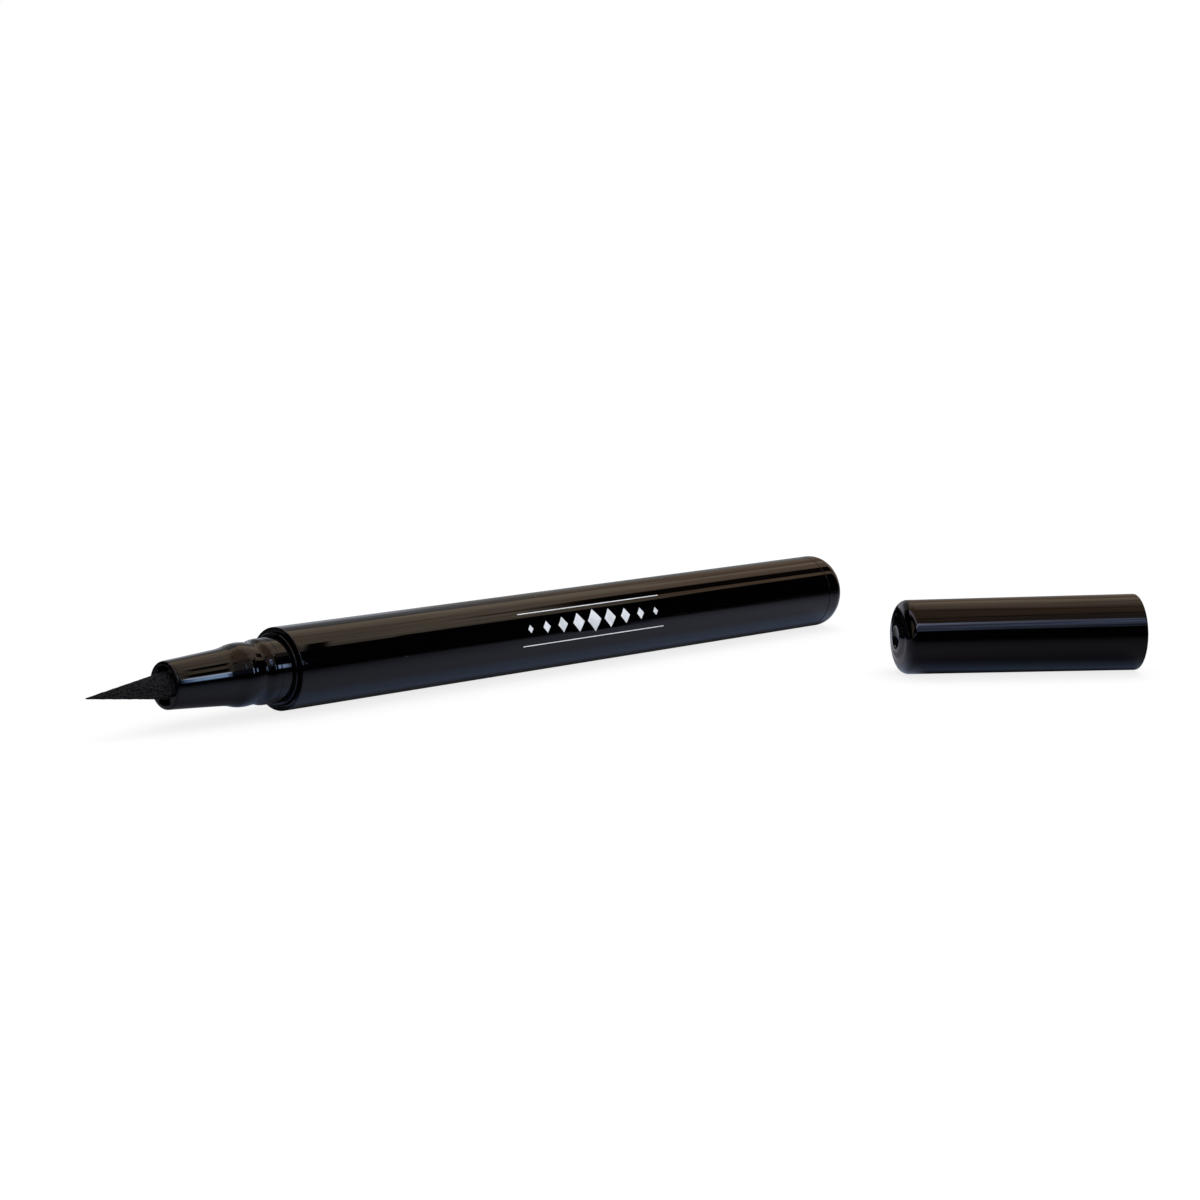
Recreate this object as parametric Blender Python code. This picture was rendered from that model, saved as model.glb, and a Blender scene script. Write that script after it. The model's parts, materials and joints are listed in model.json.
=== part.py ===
"""Felt tip eyeliner pen with liquid ink, lying on a table beside its cap.

Lengths are in metres, +Z is up and the table is at z = 0. The pen's pieces are drawn along the pen's own
axis, x = 0 at the barrel's front face, the nib towards -x and the tail towards +x. The cap's pieces are
drawn along the cap's axis, x = 0 at the closed end's face and the mouth towards +x. Where the cap fits the
pen, its places are worked out from the pen's, with the mouth's rim on the barrel's front face.
"""

import math

import bmesh
import bpy
from mathutils import Matrix

# Faces round the axis of each kind of piece, and steps of its curves
SHELL_SIDES = 40
LINER_SIDES = 32
COLLECTOR_SIDES = 24
FIBRE_SIDES = 24
BALL_RINGS = 10
BALL_SIDES = 16
WIRE_SIDES = 6
COIL_STEPS = 10
ARC_STEPS = 5
BEAD_STEPS = 3
CHANNEL_STEPS = 6
CONE_STEPS = 4
SHARP_ANGLE = math.radians(35)
FULL_TURN = 2 * math.pi
HALF_PI = math.pi / 2

# Clearances and small sizes shared by the pieces
FIT_GAP = 0.00008
SEAT_GAP = 0.0001
CUT_OVERRUN = 0.0004
EDGE_ROUND = 0.00015
WELD = EDGE_ROUND / 1000

# Barrel, a straight tube with a socket at each end
BARREL_RADIUS = 0.0054
BARREL_LENGTH = 0.1021
BARREL_WALL = 0.0010
FRONT_SOCKET_WALL = 0.0009
TAIL_SOCKET_WALL = 0.00085
SOCKET_ROOM = 0.0006
SNAP_WIDTH = 0.0010
SNAP_HEIGHT = 0.00012
CHAMBER_RADIUS = BARREL_RADIUS - BARREL_WALL
FRONT_SOCKET_RADIUS = BARREL_RADIUS - FRONT_SOCKET_WALL
TAIL_SOCKET_RADIUS = BARREL_RADIUS - TAIL_SOCKET_WALL

# Tail plug
TAIL_BAND = 0.0016
TAIL_DOME_LENGTH = 0.0029
TAIL_FLAT_RADIUS = 0.00145
TAIL_SPIGOT_LENGTH = 0.0078
TAIL_WALL = 0.0009
TAIL_RIB_WIDTH = 0.0009
TAIL_RIB_HEIGHT = 0.00015
TAIL_RIB_PLACE_SHARES = (0.28, 0.56)
TAIL_SPIGOT_RADIUS = TAIL_SOCKET_RADIUS - FIT_GAP - TAIL_RIB_HEIGHT

# Nib
NIB_RADIUS = 0.00185
NIB_REACH = 0.01135
NIB_CONE_SETBACK = 0.0011
NIB_TIP_RADIUS = 0.00012
NIB_LEAN = 0.00019
NIB_SEAT_DEPTH = 0.0038
NIB_TAIL_CHAMFER = 0.0003

# Front section. The outline between its mouth and its neck is in pairs of shares: how far from the
# barrel towards the mouth, and how far from the mouth's radius up to the neck's.
NOZZLE_LENGTH = 0.01734
NIB_GRIP = 0.0001
CHANNEL_DEPTH = 0.00055
CHANNEL_COUNT = 4
CHANNEL_SWEEP_SHARE = 0.69
CHANNEL_TURN = math.radians(86)
MOUTH_WALL = 0.00052
MOUTH_EDGE = 0.00008
NECK_DROP = 0.00113
NECK_STEP = 0.00003
COLLAR_WIDTH = 0.00043
COLLAR_HEIGHT = 0.00045
COLLAR_REBATE = 0.0001
WAIST_SHARES = (0.56, 0.42)
SHOULDER_SHARES = (0.456, 0.584)
SHOULDER_TOP_SHARES = (0.415, 0.76)
RIDGE_SHARES = (0.34, 0.848)
DIP_SHARES = (0.26, 0.752)
DIP_WIDTH = 0.0006
NECK_START_SHARES = (0.196, 0.936)
NECK_STEP_PLACE_SHARE = 0.127
SKIRT_LENGTH = 0.0105
SKIRT_WALL = 0.00062
SNAP_PLACE_SHARE = 0.69
SPIGOT_WALL = 0.00099
SPIGOT_BORE_PLACE = 0.0064
SPIGOT_BORE_DEPTH = 0.0006
NOZZLE_BORE_ROOM = 0.0001
RIB_DEPTH_SHARE = 0.76
HOLD_RADIUS = NIB_RADIUS + NIB_GRIP
CHANNEL_RADIUS = HOLD_RADIUS + CHANNEL_DEPTH
MOUTH_RADIUS = CHANNEL_RADIUS + MOUTH_WALL
NECK_RADIUS = BARREL_RADIUS - NECK_DROP
COLLAR_RADIUS = NECK_RADIUS + COLLAR_WIDTH
SKIRT_RADIUS = FRONT_SOCKET_RADIUS - FIT_GAP
SKIRT_BORE_RADIUS = SKIRT_RADIUS - SKIRT_WALL
SPIGOT_RADIUS = NIB_RADIUS + FIT_GAP + SPIGOT_WALL
SNAP_PLACE = SKIRT_LENGTH * SNAP_PLACE_SHARE
COLLAR_SEAT = COLLAR_REBATE - SEAT_GAP
FRONT_SOCKET_DEPTH = SKIRT_LENGTH + SOCKET_ROOM

# Ink collector and the fibre core through it
COLLECTOR_DISC = 0.0008
FIN_THICKNESS = 0.00045
FIN_GAP = 0.00075
REAR_FINS = 12
HUB_WALL = 0.00097
REAR_PLUG_LENGTH = 0.0030
REAR_PLUG_GROOVE = 0.0002
NOSE_LENGTH = 0.0022
NOSE_WALL = 0.00087
AIR_SLOT_WIDTH = 0.0012
AIR_SLOT_DEPTH = 0.00037
INK_SLIT_WIDTH = 0.0004
INK_SLIT_FLOOR = 0.00037
CORE_RADIUS = 0.00105
CORE_REACH = 0.0012
CORE_CHAMFER = 0.0003
CORE_BORE_RADIUS = CORE_RADIUS + FIT_GAP
HUB_RADIUS = CORE_BORE_RADIUS + HUB_WALL
FIN_PITCH = FIN_THICKNESS + FIN_GAP
SPIGOT_FRONT = SPIGOT_BORE_PLACE - SEAT_GAP

# Mixing ball, part of the way between its stops
BALL_RADIUS = 0.0020
BALL_PLACE_SHARE = 0.48

# Inner cap, placed by the nozzle that it closes on
LIP_DROP = 0.00011
LIP_CHAMFER = 0.0003
LINER_CLEARANCE = 0.00025
LINER_FLANGE_LENGTH = 0.0012
LINER_STEP_ROOM = 0.0032
LINER_STEP_WALL = 0.0006
LINER_REAR_WALL = 0.0004
LINER_END_WALL = 0.0006
NIB_ROOM = 0.0017
LINER_BACK_ROOM = 0.0026

# Cap spring
WIRE_RADIUS = 0.0002
SPRING_INNER_GAP = 0.00012
SPRING_OUTER_GAP = 0.00045
SPRING_TURNS = 7

# Cap, as long as the nib, the inner cap and the spring need
CAP_END_WALL = 0.0012
CAP_TAPER = 0.00023
CAP_FLUSH = 0.00002
CAP_DOME = 0.0004
CAP_FILLET_RADIAL = 0.00174
CAP_FILLET_AXIAL = 0.00144
RECESS_RADIUS = 0.00165
RECESS_DEPTH = 0.00045
RECESS_RING_SHARES = (0.5, 0.85)
CAP_NECK_CLEARANCE = 0.00029
CAP_BORE_DRAFT = 0.00012
CAP_MOUTH_CHAMFER = 0.0003
COLLAR_CLEARANCE = 0.00012
CAP_SNAP_WIDTH = 0.0007
CAP_SNAP_CLEARANCE = 0.00005
RETAINER_LEAD = 0.0003
RETAINER_WIDTH = 0.0006
RETAINER_CLEARANCE = 0.00012
CAP_LENGTH = NOZZLE_LENGTH + NIB_REACH + NIB_ROOM + LINER_END_WALL + LINER_BACK_ROOM + CAP_END_WALL
CAP_MOUTH_RADIUS = BARREL_RADIUS + CAP_FLUSH
CAP_END_RADIUS = CAP_MOUTH_RADIUS - CAP_TAPER
CAP_BORE_RADIUS = NECK_RADIUS + CAP_NECK_CLEARANCE

# Where the pen's barrel and the cap's closed end lie on the table
PEN_TURN = math.radians(34.48)
PEN_X = -0.04914
PEN_Y = -0.02364
CAP_X = 0.03796
CAP_Y = -0.00654


def clear_scene():
    for thing in list(bpy.data.objects):
        bpy.data.objects.remove(thing, do_unlink=True)


def plastic(name, colour, roughness, metallic=0):
    material = bpy.data.materials.new(name)
    material.use_nodes = True
    shader = material.node_tree.nodes["Principled BSDF"]
    shader.inputs["Base Color"].default_value = (*colour, 1)
    shader.inputs["Roughness"].default_value = roughness
    shader.inputs["Metallic"].default_value = metallic
    material.diffuse_color = (*colour, 1)
    return material


def added(name, bm, parent, material):
    """The mesh as an object of its own under its frame, smooth but for its sharp edges."""
    bmesh.ops.remove_doubles(bm, verts=bm.verts, dist=WELD)
    bmesh.ops.recalc_face_normals(bm, faces=bm.faces)
    mesh = bpy.data.meshes.new(name)
    bm.to_mesh(mesh)
    bm.free()
    mesh.shade_smooth()
    mesh.set_sharp_from_angle(angle=SHARP_ANGLE)
    mesh.materials.append(material)
    thing = bpy.data.objects.new(name, mesh)
    bpy.context.scene.collection.objects.link(thing)
    thing.parent = parent
    return thing


def outline_in(bm, outline, angle):
    """The (place along x, radius) points of an outline as vertices at an angle from straight down."""
    down, side = -math.cos(angle), math.sin(angle)
    return [bm.verts.new((x, radius * side, radius * down)) for x, radius in outline]


def turned(name, outline, sides, parent, material, ring=False):
    """An outline turned about the x axis, with a flat facet at the bottom. A ring's outline closes."""
    bm = bmesh.new()
    verts = outline_in(bm, outline, math.pi / sides)
    pairs = list(zip(verts, verts[1:]))
    if ring:
        pairs.append((verts[-1], verts[0]))
    edges = [bm.edges.new(pair) for pair in pairs]
    bmesh.ops.spin(
        bm,
        geom=verts + edges,
        cent=(0, 0, 0),
        axis=(1, 0, 0),
        angle=FULL_TURN,
        steps=sides,
        use_merge=True,
    )
    return added(name, bm, parent, material)


def hide_cutter(cutter):
    cutter.hide_render = True
    cutter.display_type = "WIRE"


def sector_cutter(name, outline, start, sweep, count, parent):
    """Copies of an outline turned through part of a circle, spaced evenly round the x axis."""
    bm = bmesh.new()
    for copy in range(count):
        first = bm.faces.new(outline_in(bm, outline, start + copy * FULL_TURN / count))
        bmesh.ops.spin(
            bm,
            geom=[first, *first.edges, *first.verts],
            cent=(0, 0, 0),
            axis=(1, 0, 0),
            angle=sweep,
            steps=CHANNEL_STEPS,
        )
    cutter = added(name, bm, parent, bpy.data.materials["black_plastic"])
    hide_cutter(cutter)
    return cutter


def box_cutter(name, low, high, parent):
    """A box between two corners."""
    bm = bmesh.new()
    bmesh.ops.create_cube(bm, size=1)
    middle = [(a + b) / 2 for a, b in zip(low, high)]
    size = [b - a for a, b in zip(low, high)]
    bmesh.ops.transform(
        bm, matrix=Matrix.Translation(middle) @ Matrix.Diagonal((*size, 1)), verts=bm.verts
    )
    cutter = added(name, bm, parent, bpy.data.materials["black_plastic"])
    hide_cutter(cutter)
    return cutter


def cut(thing, cutter):
    change = thing.modifiers.new(cutter.name, "BOOLEAN")
    change.operation = "DIFFERENCE"
    change.object = cutter


def bead(place, base, height, width):
    """The points of a rounded ring or groove across an outline, from the low x side."""
    points = []
    for step in range(BEAD_STEPS + 1):
        angle = math.pi * step / BEAD_STEPS
        points.append((place - width / 2 * math.cos(angle), base + height * math.sin(angle)))
    return points


def quarter(start, end, convex_along):
    """Points of a quarter of an ellipse between two corners of an outline. convex_along says whether it
    leaves the first corner along x (True) or along the radius (False)."""
    (x0, r0), (x1, r1) = start, end
    points = []
    for step in range(ARC_STEPS + 1):
        angle = HALF_PI * step / ARC_STEPS
        rise, run = math.sin(angle), 1 - math.cos(angle)
        along, out = (rise, run) if convex_along else (run, rise)
        points.append((x0 + (x1 - x0) * along, r0 + (r1 - r0) * out))
    return points


def build_barrel(pen, black):
    """Straight tube: a rebate for the collar, a socket with a snap groove for the front section, the
    chamber, then the tail socket."""
    rebate_radius = COLLAR_RADIUS + FIT_GAP
    chamber_end = BARREL_LENGTH - TAIL_SPIGOT_LENGTH - SOCKET_ROOM
    outline = [
        (EDGE_ROUND, BARREL_RADIUS),
        (BARREL_LENGTH, BARREL_RADIUS),
        (BARREL_LENGTH, TAIL_SOCKET_RADIUS),
        (chamber_end, TAIL_SOCKET_RADIUS),
        (chamber_end, CHAMBER_RADIUS),
        (FRONT_SOCKET_DEPTH, CHAMBER_RADIUS),
        (FRONT_SOCKET_DEPTH, FRONT_SOCKET_RADIUS),
        *reversed(bead(SNAP_PLACE, FRONT_SOCKET_RADIUS, SNAP_HEIGHT, SNAP_WIDTH)),
        (COLLAR_REBATE, FRONT_SOCKET_RADIUS),
        (COLLAR_REBATE, rebate_radius),
        (0, rebate_radius),
        (0, BARREL_RADIUS - EDGE_ROUND),
    ]
    return turned("barrel", outline, SHELL_SIDES, pen, black, ring=True)


def build_tail_plug(pen, black):
    """Domed end with a hollow spigot, whose ribs press in the barrel's tail socket."""
    seam = BARREL_LENGTH + SEAT_GAP
    dome_start = seam + TAIL_BAND
    end = dome_start + TAIL_DOME_LENGTH
    spigot_front = seam - TAIL_SPIGOT_LENGTH
    hollow_radius = TAIL_SPIGOT_RADIUS - TAIL_WALL
    outline = [
        (end, 0),
        *reversed(quarter((dome_start, BARREL_RADIUS), (end, TAIL_FLAT_RADIUS), True)),
        (seam + EDGE_ROUND, BARREL_RADIUS),
        (seam, BARREL_RADIUS - EDGE_ROUND),
        (seam, TAIL_SPIGOT_RADIUS),
    ]
    for share in TAIL_RIB_PLACE_SHARES:
        place = seam - TAIL_SPIGOT_LENGTH * share
        outline += reversed(bead(place, TAIL_SPIGOT_RADIUS, TAIL_RIB_HEIGHT, TAIL_RIB_WIDTH))
    outline += [
        (spigot_front + EDGE_ROUND, TAIL_SPIGOT_RADIUS),
        (spigot_front, TAIL_SPIGOT_RADIUS - EDGE_ROUND),
        (spigot_front, hollow_radius),
        (dome_start, hollow_radius),
        (dome_start + TAIL_WALL, hollow_radius - TAIL_WALL),
        (dome_start + TAIL_WALL, 0),
    ]
    return turned("tail_plug", outline, SHELL_SIDES, pen, black)


def section_point(shares):
    """A point of the front section's outline from its shares of the nozzle's length and of its flare."""
    place_share, flare_share = shares
    return -NOZZLE_LENGTH * place_share, MOUTH_RADIUS + (NECK_RADIUS - MOUTH_RADIUS) * flare_share


def build_front_section(pen, black):
    """Nozzle, seal ridge, neck and collar outside; ribbed mouth, collector seat and snap skirt inside."""
    collar_front = COLLAR_SEAT - COLLAR_HEIGHT
    dip, dip_radius = section_point(DIP_SHARES)
    neck_step = -NOZZLE_LENGTH * NECK_STEP_PLACE_SHARE
    spigot_bore = SPIGOT_RADIUS + FIT_GAP
    nozzle_bore = CHANNEL_RADIUS + NOZZLE_BORE_ROOM
    rib_end = (NOZZLE_LENGTH - SPIGOT_BORE_PLACE) * RIB_DEPTH_SHARE - NOZZLE_LENGTH
    outline = [
        (-NOZZLE_LENGTH, HOLD_RADIUS),
        (-NOZZLE_LENGTH, MOUTH_RADIUS - MOUTH_EDGE),
        (-NOZZLE_LENGTH + MOUTH_EDGE, MOUTH_RADIUS),
        section_point(WAIST_SHARES),
        section_point(SHOULDER_SHARES),
        section_point(SHOULDER_TOP_SHARES),
        section_point(RIDGE_SHARES),
        (dip - DIP_WIDTH / 2, dip_radius),
        (dip + DIP_WIDTH / 2, dip_radius),
        section_point(NECK_START_SHARES),
        (neck_step, NECK_RADIUS - NECK_STEP),
        (neck_step, NECK_RADIUS),
        (collar_front, NECK_RADIUS),
        (collar_front, COLLAR_RADIUS - EDGE_ROUND),
        (collar_front + EDGE_ROUND, COLLAR_RADIUS),
        (COLLAR_SEAT, COLLAR_RADIUS),
        (COLLAR_SEAT, SKIRT_RADIUS),
        *bead(SNAP_PLACE, SKIRT_RADIUS, SNAP_HEIGHT, SNAP_WIDTH - FIT_GAP),
        (SKIRT_LENGTH - EDGE_ROUND, SKIRT_RADIUS),
        (SKIRT_LENGTH, SKIRT_RADIUS - EDGE_ROUND),
        (SKIRT_LENGTH, SKIRT_BORE_RADIUS),
        (SPIGOT_BORE_DEPTH, SKIRT_BORE_RADIUS),
        (SPIGOT_BORE_DEPTH, spigot_bore),
        (-SPIGOT_BORE_PLACE, spigot_bore),
        (-SPIGOT_BORE_PLACE, nozzle_bore),
        (rib_end, nozzle_bore),
        (rib_end, HOLD_RADIUS),
    ]
    section = turned("front_section", outline, SHELL_SIDES, pen, black, ring=True)
    channel = [
        (-NOZZLE_LENGTH - CUT_OVERRUN, HOLD_RADIUS - CUT_OVERRUN),
        (-NOZZLE_LENGTH - CUT_OVERRUN, CHANNEL_RADIUS),
        (rib_end + CUT_OVERRUN, CHANNEL_RADIUS),
        (rib_end + CUT_OVERRUN, HOLD_RADIUS - CUT_OVERRUN),
    ]
    sweep = CHANNEL_SWEEP_SHARE * FULL_TURN / CHANNEL_COUNT
    start = CHANNEL_TURN - sweep / 2
    cut(section, sector_cutter("mouth_channels", channel, start, sweep, CHANNEL_COUNT, pen))
    return section


def build_nib(pen, felt):
    """Fibre rod with a long cone and a blunt point. The part outside the mouth leans a little downwards."""
    cone_start = NIB_CONE_SETBACK - NOZZLE_LENGTH
    tip = -NOZZLE_LENGTH - NIB_REACH
    shoulder = tip + NIB_TIP_RADIUS
    tail = NIB_SEAT_DEPTH - SPIGOT_FRONT
    outline = [(tip, 0)]
    for step in range(CONE_STEPS + 1):
        share = step / CONE_STEPS
        radius = NIB_TIP_RADIUS + (NIB_RADIUS - NIB_TIP_RADIUS) * share
        outline.append((shoulder + (cone_start - shoulder) * share, radius))
    outline += [
        (tail - NIB_TAIL_CHAMFER, NIB_RADIUS),
        (tail, NIB_RADIUS - NIB_TAIL_CHAMFER),
        (tail, 0),
    ]
    nib = turned("nib", outline, FIBRE_SIDES, pen, felt)
    for vertex in nib.data.vertices:
        outside = max(0, -NOZZLE_LENGTH - vertex.co.x)
        vertex.co.z -= NIB_LEAN * outside / NIB_REACH
    return nib


def collector_places():
    """Where the collector's parts start along the pen, from the seats of the front section."""
    disc = SPIGOT_BORE_DEPTH + SEAT_GAP
    front_fins = disc + COLLECTOR_DISC
    rear_fins = FRONT_SOCKET_DEPTH + SEAT_GAP
    rear_plug = rear_fins + REAR_FINS * FIN_PITCH
    nose = rear_plug + REAR_PLUG_LENGTH
    return disc, front_fins, rear_fins, rear_plug, nose


def fins(start, count, radius):
    """Outline points of a row of fins on the hub, each with its gap before it."""
    points = []
    for fin in range(count):
        back = start + (fin + 1) * FIN_PITCH
        front = back - FIN_THICKNESS
        points += [(front, HUB_RADIUS), (front, radius), (back, radius), (back, HUB_RADIUS)]
    return points


def build_ink_collector(pen, white):
    """Finned regulator: a spigot that holds the nib, two rows of fins, a grooved plug and a nose.
    An air slot runs along its top and a fine ink slit along its bottom, through every fin."""
    disc, front_fins, rear_fins, rear_plug, nose = collector_places()
    front_count = int((SKIRT_LENGTH - front_fins) / FIN_PITCH)
    front_radius = SKIRT_BORE_RADIUS - FIT_GAP
    rear_radius = CHAMBER_RADIUS - FIT_GAP
    nose_radius = CORE_BORE_RADIUS + NOSE_WALL
    nib_seat = NIB_SEAT_DEPTH - SPIGOT_FRONT + SEAT_GAP
    groove = rear_radius - REAR_PLUG_GROOVE
    outline = [
        (-SPIGOT_FRONT, NIB_RADIUS + FIT_GAP),
        (-SPIGOT_FRONT, SPIGOT_RADIUS - EDGE_ROUND),
        (EDGE_ROUND - SPIGOT_FRONT, SPIGOT_RADIUS),
        (disc, SPIGOT_RADIUS),
        (disc, front_radius),
        (front_fins, front_radius),
        (front_fins, HUB_RADIUS),
        *fins(front_fins, front_count, front_radius),
        *fins(rear_fins, REAR_FINS - 1, rear_radius),
        (rear_plug, HUB_RADIUS),
        (rear_plug, rear_radius),
        (rear_plug + REAR_PLUG_LENGTH / 3, rear_radius),
        (rear_plug + REAR_PLUG_LENGTH / 3, groove),
        (nose - REAR_PLUG_LENGTH / 3, groove),
        (nose - REAR_PLUG_LENGTH / 3, rear_radius),
        (nose, rear_radius),
        (nose, nose_radius),
        (nose + NOSE_LENGTH - EDGE_ROUND, nose_radius),
        (nose + NOSE_LENGTH, nose_radius - EDGE_ROUND),
        (nose + NOSE_LENGTH, CORE_BORE_RADIUS),
        (nib_seat, CORE_BORE_RADIUS),
        (nib_seat, NIB_RADIUS + FIT_GAP),
    ]
    collector = turned("ink_collector", outline, COLLECTOR_SIDES, pen, white, ring=True)
    reach = rear_radius + CUT_OVERRUN
    air_low = (-SPIGOT_FRONT - CUT_OVERRUN, -AIR_SLOT_WIDTH / 2, SPIGOT_RADIUS - AIR_SLOT_DEPTH)
    air_high = (rear_plug - FIN_GAP / 2, AIR_SLOT_WIDTH / 2, reach)
    cut(collector, box_cutter("air_slot", air_low, air_high, pen))
    ink_low = (front_fins + FIN_GAP / 2, -INK_SLIT_WIDTH / 2, -reach)
    ink_high = (nose + CUT_OVERRUN, INK_SLIT_WIDTH / 2, -CORE_BORE_RADIUS - INK_SLIT_FLOOR)
    cut(collector, box_cutter("ink_slit", ink_low, ink_high, pen))
    return collector


def core_end():
    """Where the fibre core ends, out in the ink."""
    return collector_places()[-1] + NOSE_LENGTH + CORE_REACH


def build_relay_core(pen, fibre):
    """Fibre rod from the nib's tail through the collector into the ink."""
    front = NIB_SEAT_DEPTH - SPIGOT_FRONT + SEAT_GAP
    back = core_end()
    outline = [
        (front, 0),
        (front, CORE_RADIUS),
        (back - CORE_CHAMFER, CORE_RADIUS),
        (back, CORE_RADIUS - CORE_CHAMFER),
        (back, 0),
    ]
    return turned("relay_core", outline, COLLECTOR_SIDES, pen, fibre)


def build_mixing_ball(pen, steel):
    """Ball at the bottom of the chamber. Its origin is its centre, on the line that it runs along."""
    bm = bmesh.new()
    bmesh.ops.create_uvsphere(
        bm, u_segments=BALL_SIDES, v_segments=BALL_RINGS, radius=BALL_RADIUS
    )
    ball = added("mixing_ball", bm, pen, steel)
    floor = CHAMBER_RADIUS * math.cos(math.pi / SHELL_SIDES)
    front, back = core_end() + BALL_RADIUS, BARREL_LENGTH - TAIL_SPIGOT_LENGTH - BALL_RADIUS
    place = front + (back - front) * BALL_PLACE_SHARE
    ball.location = (place, 0, BALL_RADIUS + SEAT_GAP - floor)
    return ball


def cap_taper(place):
    """Outside radius of the cap at a place along it."""
    return CAP_END_RADIUS + (CAP_MOUTH_RADIUS - CAP_END_RADIUS) * place / CAP_LENGTH


def cap_bore(place):
    """Bore radius of the cap, widest at the mouth for the mould's draft."""
    return CAP_BORE_RADIUS - CAP_BORE_DRAFT * (CAP_LENGTH - place) / CAP_LENGTH


def cap_recess():
    """The dished recess in the middle of the closed end, then the domed face round it."""
    face_radius = CAP_END_RADIUS - CAP_FILLET_RADIAL
    points = [(RECESS_DEPTH - CAP_DOME, 0)]
    for share in RECESS_RING_SHARES:
        depth = RECESS_DEPTH * (1 - share * share)
        points.append((depth - CAP_DOME, RECESS_RADIUS * share))
    for step in range(ARC_STEPS):
        radius = RECESS_RADIUS + (face_radius - RECESS_RADIUS) * step / ARC_STEPS
        points.append((-CAP_DOME * (1 - (radius / face_radius) ** 2), radius))
    return points


def build_cap_shell(cap, black):
    """Tapered cup with a rounded closed end; inside, a snap bead for the pen's dip and a ring that keeps
    the inner cap in."""
    rim = CAP_LENGTH - EDGE_ROUND
    fillet_start = (0, CAP_END_RADIUS - CAP_FILLET_RADIAL)
    fillet_end = (CAP_FILLET_AXIAL, cap_taper(CAP_FILLET_AXIAL))
    mouth_bore = COLLAR_RADIUS + COLLAR_CLEARANCE
    mouth_depth = CAP_LENGTH - COLLAR_HEIGHT - SEAT_GAP
    dip, dip_radius = section_point(DIP_SHARES)
    snap = CAP_LENGTH + dip
    snap_height = dip_radius + CAP_SNAP_CLEARANCE - cap_bore(snap)
    ring = retainer_place()
    ring_height = section_point(RIDGE_SHARES)[1] + RETAINER_CLEARANCE - cap_bore(ring)
    outline = [
        *cap_recess(),
        *quarter(fillet_start, fillet_end, False),
        (rim, cap_taper(rim)),
        (CAP_LENGTH, cap_taper(rim) - EDGE_ROUND),
        (CAP_LENGTH, mouth_bore),
        (mouth_depth, mouth_bore),
        (mouth_depth - CAP_MOUTH_CHAMFER, cap_bore(mouth_depth)),
        *reversed(bead(snap, cap_bore(snap), snap_height, CAP_SNAP_WIDTH)),
        *reversed(bead(ring, cap_bore(ring), ring_height, RETAINER_WIDTH)),
        (CAP_END_WALL + EDGE_ROUND, cap_bore(CAP_END_WALL)),
        (CAP_END_WALL, cap_bore(CAP_END_WALL) - EDGE_ROUND),
        (CAP_END_WALL, 0),
    ]
    return turned("cap_shell", outline, SHELL_SIDES, cap, black)


def retainer_place():
    """Where the ring that keeps the inner cap in lies along the cap, just outside the nozzle's shoulder."""
    return CAP_LENGTH + section_point(SHOULDER_SHARES)[0] + RETAINER_LEAD


def liner_places():
    """The inner cap's mouth, step and closed end along the cap, held forward against the keeping ring."""
    mouth = retainer_place() - RETAINER_WIDTH / 2 - SEAT_GAP
    step = CAP_LENGTH - NOZZLE_LENGTH - LINER_STEP_ROOM
    end = CAP_END_WALL + LINER_BACK_ROOM
    return mouth, step, end


def spring_radii():
    """The radius of the spring's wire path and of the inner cap's rear inside it. The path's straight
    steps come nearer to the axis in their middles."""
    wire_path = cap_bore(CAP_END_WALL) - SPRING_OUTER_GAP - WIRE_RADIUS
    nearest = wire_path * math.cos(math.pi / COIL_STEPS)
    return wire_path, nearest - WIRE_RADIUS - SPRING_INNER_GAP


def build_inner_cap(cap, grey):
    """Stepped cup that closes over the nozzle, its flange under the keeping ring."""
    mouth, step, end = liner_places()
    lip_radius = section_point(SHOULDER_SHARES)[1] - LIP_DROP
    flange_radius = cap_bore(step) - FIT_GAP
    body_radius = cap_bore(step) - LINER_CLEARANCE
    rear_radius = spring_radii()[1]
    rear_bore = rear_radius - LINER_REAR_WALL
    outline = [
        (end, 0),
        (end, rear_radius - EDGE_ROUND),
        (end + EDGE_ROUND, rear_radius),
        (step, rear_radius),
        (step, body_radius),
        (mouth - LINER_FLANGE_LENGTH, body_radius),
        (mouth - LINER_FLANGE_LENGTH, flange_radius),
        (mouth, flange_radius),
        (mouth, lip_radius + LIP_CHAMFER),
        (mouth - LIP_CHAMFER, lip_radius),
        (step + LINER_STEP_WALL, lip_radius),
        (step + LINER_STEP_WALL, rear_bore),
        (end + LINER_END_WALL, rear_bore),
        (end + LINER_END_WALL, 0),
    ]
    return turned("inner_cap", outline, LINER_SIDES, cap, grey)


def build_cap_spring(cap, steel):
    """Coil round the inner cap's rear, between its step and the closed end. One unbroken wire."""
    wire_path = spring_radii()[0]
    first = CAP_END_WALL + SEAT_GAP + WIRE_RADIUS
    rise = liner_places()[1] - SEAT_GAP - WIRE_RADIUS - first
    steps = SPRING_TURNS * COIL_STEPS
    slope = math.atan2(rise, FULL_TURN * SPRING_TURNS * wire_path)
    bm = bmesh.new()
    rings = []
    for step in range(steps + 1):
        turn = FULL_TURN * step / COIL_STEPS
        centre = (first + rise * step / steps, wire_path * math.sin(turn), wire_path * math.cos(turn))
        rings.append(wire_ring(bm, centre, turn, slope))
    for near, far in zip(rings, rings[1:]):
        for side in range(WIRE_SIDES):
            other = (side + 1) % WIRE_SIDES
            bm.faces.new((near[side], near[other], far[other], far[side]))
    bm.faces.new(reversed(rings[0]))
    bm.faces.new(rings[-1])
    print(f"cap_spring: least gap between turns {rise / SPRING_TURNS - WIRE_RADIUS * 2:.6f} m")
    return added("cap_spring", bm, cap, steel)


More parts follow.
